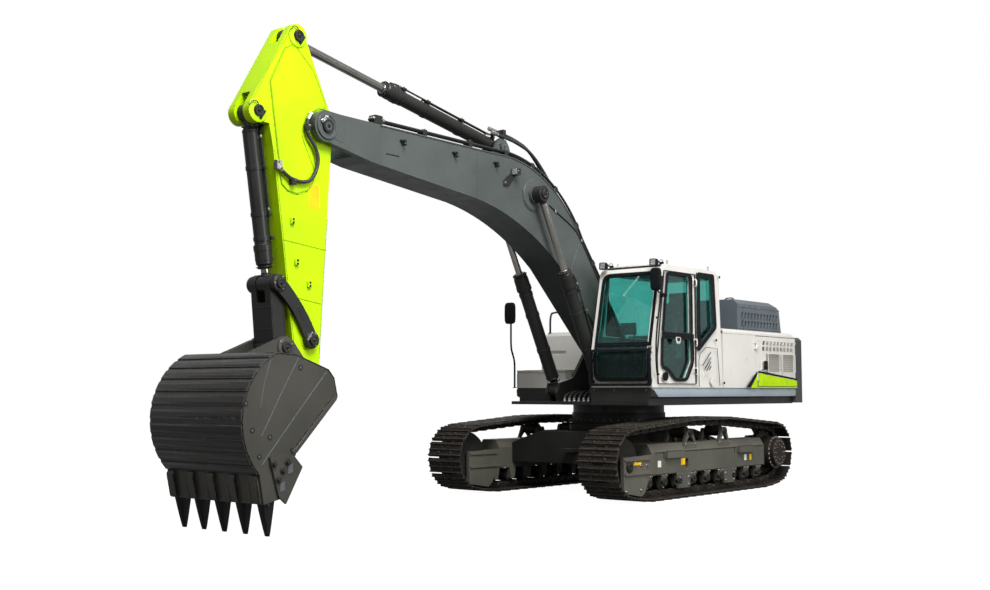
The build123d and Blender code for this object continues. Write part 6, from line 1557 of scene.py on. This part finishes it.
def boom_cylinder_pins():
    """Caps on the pins that hold the boom cylinders, on the boom's side and on the deck's brackets."""
    on_boom, on_deck, boom_bolts, deck_bolts = [], [], [], []
    for sign in (-1, 1):
        end = sign * (BOOM_CYLINDER_Y + EYE_HALF + 0.005)
        on_boom += pin_cap((BOOM_EYE[0], end, BOOM_EYE[2]), sign, 0.066)
        boom_bolts += bolt_ring((BOOM_EYE[0], end + sign * 0.018, BOOM_EYE[2]), (0, sign, 0), 0.048, 3, 0.014, 0.3)
        x, _, z = BOOM_CYLINDER_FOOT
        on_deck += pin_cap((x, sign * 0.506, z), sign, 0.068, 0.016)
        deck_bolts += lock_plate((x, sign * 0.4945, z), sign, 120, 0.072, 0.03, 0.01, 0.02)
        x, _, z = BOOM_FOOT
        on_deck += pin_cap((x, sign * 0.3645, z), sign, 0.074, 0.018)
        deck_bolts += lock_plate((x, sign * 0.3255, z), sign, -60, 0.086, 0.034, 0.012, 0.024)
    piece("boom_cylinder_eye_pins", "boom", [(BLACK, on_boom), (BOLT_STEEL, boom_bolts)])
    piece("deck_pins", "upper", [(BLACK, on_deck), (BOLT_STEEL, deck_bolts)])


boom_cylinder_pins()


def foot_hoses():
    """Hoses between a valve block on the deck and the boom's foot, in low bows, and two thin lines beside them."""
    hoses, ends, block = [], [], []
    deck = 1.252
    block.append(brick((1.03, 1.12), (-0.25, 0.25), (deck - 0.004, deck + 0.036), 0.008, 0.012, "front"))
    for k, y in enumerate(np.linspace(-0.21, 0.21, 6)):
        start, end = (1.07, y, deck + 0.036), (0.66, y * 0.86, deck + 0.02)
        bow = 0.012 * (k % 2)
        route = [start, (1.07, y, deck + 0.1), (1.03, y, deck + 0.138), (0.93, y * 0.93, deck + 0.17 + bow),
                 (0.78, y * 0.9, deck + 0.175 + bow), (0.69, y * 0.87, deck + 0.11), end]
        hoses.append(pipe(route, 0.02, 14, 4))
        ends.append(turned([(-0.004, 0.027), (0.024, 0.027), (0.026, 0.023), (0.06, 0.0235)], start, UP, 16))
        ends.append(turned([(-0.004, 0.031), (0.014, 0.031)], start, UP, 6))
    for y in (0.56, 0.583):
        route = [(0.98, 1.275), (0.985, 1.55), (0.95, 1.72), (0.84, 1.8), (0.7, 1.78), (0.6, 1.6), (0.59, 1.3)]
        hoses.append(pipe(side_path(route, y), 0.0095, 12, 4))
    piece("foot_hoses", "upper", [(RUBBER, hoses), (ZINC, ends), (BLACK, block)])


foot_hoses()


# ------------------------------------------------------------------ bucket, its link and the rockers
BUCKET_BACK = ((7.447, 0.62), (7.655, 1.31), (7.235, 1.83))      # three points of the back's bend
BUCKET_SIDE, EAR_HALF = 0.748, 0.173 + 0.062
TOOTH_Y = np.linspace(-1, 1, 5) * (BUCKET_SIDE - 0.056 - 0.025)


def bucket_fittings():
    """Weld seams, wear strips, cutter bolts, tooth pins and pin bosses of the bucket."""
    seams, bolts, paint_work, bright, pins, strips, welds = [], [], [], [], [], [], []
    _, radius, first, last = three_point_arc(BUCKET_BACK)
    strip_count, half = 10, 0.052 / radius / abs(last - first)
    for share in (np.arange(strip_count) + 0.5) / strip_count:
        for edge in (-1, 1):
            spot = over_arc(BUCKET_BACK, [share + edge * half], -0.002)[0]
            seams.append(bead(
                [(spot[0], -BUCKET_SIDE + 0.012, spot[1]), (spot[0], BUCKET_SIDE - 0.012, spot[1])], 0.0045, 0.012))
        # wear strip with rounded long edges over the plain one; its paint's brown tone is its own, its bluish tone a
        # painted reflection of the sky
        corners = np.concatenate([
            over_arc(BUCKET_BACK, share + half * np.array([-0.86, -0.4, 0, 0.4, 0.86]), 0.0125),
            over_arc(BUCKET_BACK, share + half * np.array([0.74, 0.36, 0, -0.36, -0.74]), 0.0155)])
        corners[:, 0] = np.minimum(corners[:, 0], HIGH["bucket_shell"].x - 0.0003)
        strips.append(slab(corners, -BUCKET_SIDE + 0.016, BUCKET_SIDE - 0.016, "side", 0.002))
    for sign in (-1, 1):
        face, out = sign * BUCKET_SIDE, (0, sign, 0)
        # seam where the wrapped back meets the side plate, and the side plate's doubled rim
        arc = over_arc(BUCKET_BACK, np.linspace(0.01, 0.99, 46), -0.004)
        rim = np.concatenate([arc, [(6.99, 1.808), (6.56, 1.665), (6.475, 1.58), (6.426, 1.39)]])
        seams.append(weld(rim, face, 0.0055, 0.01))
        paint_work.append(slab(
            [(6.424, 1.392), (6.44, 1.35), (6.975, 0.822), (7.03, 0.815), (7.06, 0.85), (6.992, 0.872), (6.462, 1.4)],
            *outward(face, sign, 0.012), "side", 0.004))
        seams.append(weld([(6.47, 1.408), (6.998, 0.88), (7.06, 0.858)], face + sign * 0.001, 0.005, 0.01))
        # upright seams of the side plate
        for run in (
            [(7.33, 1.752), (7.412, 1.501), (7.45, 1.28)], [(6.963, 1.782), (7.203, 1.393), (7.434, 0.995)],
            [(6.58, 1.64), (6.95, 1.241), (7.312, 0.842), (7.426, 0.711)]):
            welds.append(weld(run, face, 0.007, 0.012))
        # cutter: bolts, seam round its edge
        cutter = [
            (7.339, 0.782), (7.114, 0.814), (7.013, 0.782), (6.912, 0.679), (7.124, 0.322), (7.216, 0.397),
            (7.339, 0.782)]
        cut = face + sign * 0.025
        for x, z in ((7.287, 0.721), (7.112, 0.731), (7.171, 0.651), (7.227, 0.564)):
            bolts += bolt((x, cut, z), out, 0.046)
            pins.append(turned([(0.0, 0.04), (0.004, 0.04)], (x, cut, z), out, 24))
        seams.append(weld(cutter[:3], face + sign * 0.004, 0.007, 0.01))
        for x, z in ((7.066, 0.666), (7.167, 0.494)):
            flat = np.array([(-0.03, 0.052), (0.034, 0.034), (0.03, -0.052), (-0.034, -0.034)]) + (x + 0.012, z)
            welds.append(slab(flat, *outward(cut, sign, 0.006, 0.001), "side", 0.002))
        # hollows where the plates were lifted in the works
        for x, z in ((7.632, 1.322), (7.547, 1.059), (7.455, 0.802), (7.324, 0.987), (6.938, 1.681)):
            pins.append(turned([(-0.001, 0.03), (0.0025, 0.03), (0.0025, 0.014)], (x, face, z), out, 20))
            welds.append(turned([(-0.001, 0.012), (0.003, 0.012), (0.003, 0.004)], (x, face, z), out, 16))
        # ears: stepped bosses, caps, lock bolts and seams
        ear_out = sign * EAR_HALF
        for (x, _, z), ring, cap in ((BUCKET_PIN, 0.118, 0.064), (BUCKET_LINK_PIN, 0.108, 0.06)):
            paint_work.append(turned(
                [(-0.004, ring), (0.012, ring), (0.018, ring - 0.008), (0.018, cap + 0.012)], (x, ear_out, z), out,
                40))
            pins += pin_cap((x, ear_out + sign * 0.024, z), sign, cap, 0.016)
            bright += bolt_ring((x, ear_out + sign * 0.017, z), out, cap + 0.028, 3, 0.02, 0.4)
        edge = [(6.53, 1.655), (6.82, 1.732), (7.05, 1.785), (7.2, 1.812)]
        seams.append(weld(edge, ear_out + sign * 0.003, 0.01, 0.012))
        seams.append(weld(edge, sign * 0.17, 0.01, 0.012))
        seams.append(weld([(6.62, 1.985), (6.8, 1.985), (7.2, 1.835)], ear_out - sign * 0.031, 0.006, 0.01))
    # teeth: adapters with shoulders, pins through the noses
    for y in TOOTH_Y:
        paint_work.append(slab(
            [(7.384, 0.33), (7.42, 0.338), (7.48, 0.56), (7.47, 0.612), (7.44, 0.604)], y - 0.05, y + 0.05, "side",
            0.005))
        for sign in (-1, 1):
            pins.append(turned(
                [(-0.01, 0.017), (0.003, 0.017), (0.005, 0.012)], (7.305, y + sign * 0.0535, 0.315), (0, sign, 0),
                16))
            seams.append(weld([(7.447, 0.606), (7.472, 0.585), (7.418, 0.345)], y + sign * 0.056, 0.006, 0.01))
        seams.append(bead([(7.446, y - 0.056, 0.609), (7.446, y + 0.056, 0.609)], 0.007, 0.01))
    piece(
        "bucket_fittings", "bucket", [(BUCKET_PAINT, paint_work), (BUCKET_STRIP_AND_SKY_REFLECTION, strips), (TOOTH_STEEL, seams),
         (BLACK, pins + bolts), (BOLT_STEEL, bright), (WELD_GREY, welds)])


bucket_fittings()


def tooth(y):
    """Forged tooth: nine sections from root to tip; width and depth shrink along it, and a ridge stands out.

    Section at share t, in mm: half width 55.5 - 25 t, half depth 74 (1 - t)^0.85 + 9.5, ridges 6 (1 - t) high."""
    t = np.linspace(0, 1, 9)[:, None]
    angle = np.linspace(0, ROUND, 20, endpoint=False)[None]
    root, tip = np.array((7.3, 0.3476)), np.array((7.272, 0.0105))
    middle = root + (tip - root) * t
    half_wide = 0.0555 - 0.025 * t
    half_deep = 0.074 * (1 - t) ** 0.85 + 0.0095

    def square(v):
        return np.sign(v) * np.abs(v) ** 0.42
    wide, deep = half_wide * square(np.cos(angle)), half_deep * square(np.sin(angle))
    deep = deep + 0.006 * (1 - t) * np.exp(-(wide / 0.018) ** 2) * np.sign(np.sin(angle))
    run = (tip - root) / np.linalg.norm(tip - root)
    n = np.array((-run[1], run[0]))
    rings = np.stack([middle[:, :1] + n[0] * deep, y + wide, middle[:, 1:] + n[1] * deep], -1)
    return skin(rings)


piece("forged_teeth", "bucket", [(TOOTH_STEEL, [tooth(y) for y in TOOTH_Y])], ("bucket_teeth",), 50)


def rocker_and_link_fittings():
    """Bosses, caps, lock plates and seams of the side levers and of the box link."""
    paint_work, pins, bright = [], [], []
    for sign in (-1, 1):
        face, out = sign * 0.213, (0, sign, 0)
        for x, _, z in (ROCKER_PIN, LINK_PIN):
            paint_work.append(turned(
                [(-0.004, 0.092), (0.01, 0.092), (0.016, 0.084), (0.016, 0.06)], (x, face, z), out, 40))
            pins += pin_cap((x, face + sign * 0.022, z), sign, 0.056, 0.018)
            bright += bolt_ring((x, face + sign * 0.014, z), out, 0.073, 3, 0.018, 1.1)
        bright += lock_plate(
            (ROCKER_PIN[0], face + sign * 0.016, ROCKER_PIN[2]), sign, 40, 0.058, 0.026, 0.008, 0.018)
        paint_work.append(slab([(6.43, 2.2), (6.52, 2.34), (6.485, 2.365), (6.4, 2.23)],
                               *outward(face, sign, 0.002, 0.001), "side", 0.001, 0.012))
    piece("rocker_fittings", "rockers", [(BLACK, paint_work + pins), (BOLT_STEEL, bright)])
    u = BUCKET_LINK_PIN - LINK_PIN
    length = np.linalg.norm(u)
    u = u / length
    n = np.array((-u[2], 0, u[0]))
    steel = []
    for sign in (-1, 1):
        face = sign * 0.157
        for centre in (LINK_PIN, BUCKET_LINK_PIN):
            steel.append(turned(
                [(-0.003, 0.098), (0.004, 0.096), (0.004, 0.058)], (centre[0], face, centre[2]), (0, sign, 0), 36))
    for share in (0.36, 0.7):
        for edge in (-1, 1):
            a = LINK_PIN + u * length * share + n * edge * 0.0905
            steel.append(bead([a + (0, -0.15, 0), a + (0, 0.15, 0)], 0.0045, 0.01))
    a, b = LINK_PIN + u * 0.13, LINK_PIN + u * (length - 0.13)
    for sign in (-1, 1):
        for edge in (-0.075, 0.075):
            steel.append(bead(
                [a + n * edge + (0, sign * 0.157, 0), b + n * edge + (0, sign * 0.157, 0)], 0.004, 0.01))
    piece("link_fittings", "bucket_link", [(BLACK, steel)])


rocker_and_link_fittings()


# ------------------------------------------------------------------ floor and surroundings
GLOSS_SHARE = 0.42          # how much of the white surroundings a glossy surface sees
FLOOR_GLOSS = 0.4           # and how much of that share comes from the floor
FLOOR_HALF, FLOOR_GLOW, FLOOR_TONE = 80, 0.97, 0.13
SKY_LIGHT = 0.17            # strength of the surroundings as a light


def studio_floor():
    """Wide floor that lights the object little: to the eye and through glass it glows nearly white, in gloss less."""
    data = bpy.data.meshes.new("floor")
    corners = box_outline((-FLOOR_HALF, FLOOR_HALF), (-FLOOR_HALF, FLOOR_HALF))
    data.from_pydata([(x, y, 0) for x, y in corners], [], [(0, 1, 2, 3)])
    floor = bpy.data.objects.new("floor", data)
    bpy.context.scene.collection.objects.link(floor)
    r = Recipe("floor")
    data.materials.append(r.set((FLOOR_TONE,) * 3, 0.9, Specular_IOR_Level=0.1))
    seen = r.node("ShaderNodeLightPath")
    glow = r.node("ShaderNodeEmission")
    glow.inputs["Color"].default_value = (1, 1, 1, 1)
    glow.inputs["Strength"].default_value = FLOOR_GLOW
    both, either = r.node("ShaderNodeAddShader"), r.node("ShaderNodeMixShader")
    r.link(r.shader.outputs[0], both.inputs[0])
    r.link(glow.outputs[0], both.inputs[1])
    share = r.math("MAXIMUM", seen.outputs["Is Camera Ray"], seen.outputs["Is Transmission Ray"])
    share = r.math("MAXIMUM", share, r.math("MULTIPLY", seen.outputs["Is Glossy Ray"], GLOSS_SHARE * FLOOR_GLOSS))
    r.link(share, either.inputs[0])
    r.link(r.shader.outputs[0], either.inputs[1])
    r.link(both.outputs[0], either.inputs[2])
    r.link(either.outputs[0], r.tree.nodes["Material Output"].inputs["Surface"])


studio_floor()


def surroundings():
    """White to the eye and through glass, a share of that in gloss, and dim as a light."""
    world = bpy.data.worlds.new("studio")
    bpy.context.scene.world = world
    world.use_nodes = True
    tree = world.node_tree
    ground = tree.nodes["Background"]
    ground.inputs["Color"].default_value = (1, 1, 1, 1)
    path = tree.nodes.new("ShaderNodeLightPath")
    dimmed = tree.nodes.new("ShaderNodeMath")
    dimmed.operation = "MULTIPLY"
    dimmed.inputs[1].default_value = GLOSS_SHARE
    tree.links.new(path.outputs["Is Glossy Ray"], dimmed.inputs[0])
    seen = path.outputs["Is Camera Ray"]
    for ray in (dimmed.outputs["Value"], path.outputs["Is Transmission Ray"]):
        most = tree.nodes.new("ShaderNodeMath")
        most.operation = "MAXIMUM"
        tree.links.new(seen, most.inputs[0])
        tree.links.new(ray, most.inputs[1])
        seen = most.outputs["Value"]
    strength = tree.nodes.new("ShaderNodeMapRange")
    strength.inputs["To Min"].default_value = SKY_LIGHT
    strength.inputs["To Max"].default_value = 1.0
    tree.links.new(seen, strength.inputs["Value"])
    tree.links.new(strength.outputs["Result"], ground.inputs["Strength"])


surroundings()
bpy.context.scene.view_settings.view_transform = "Standard"
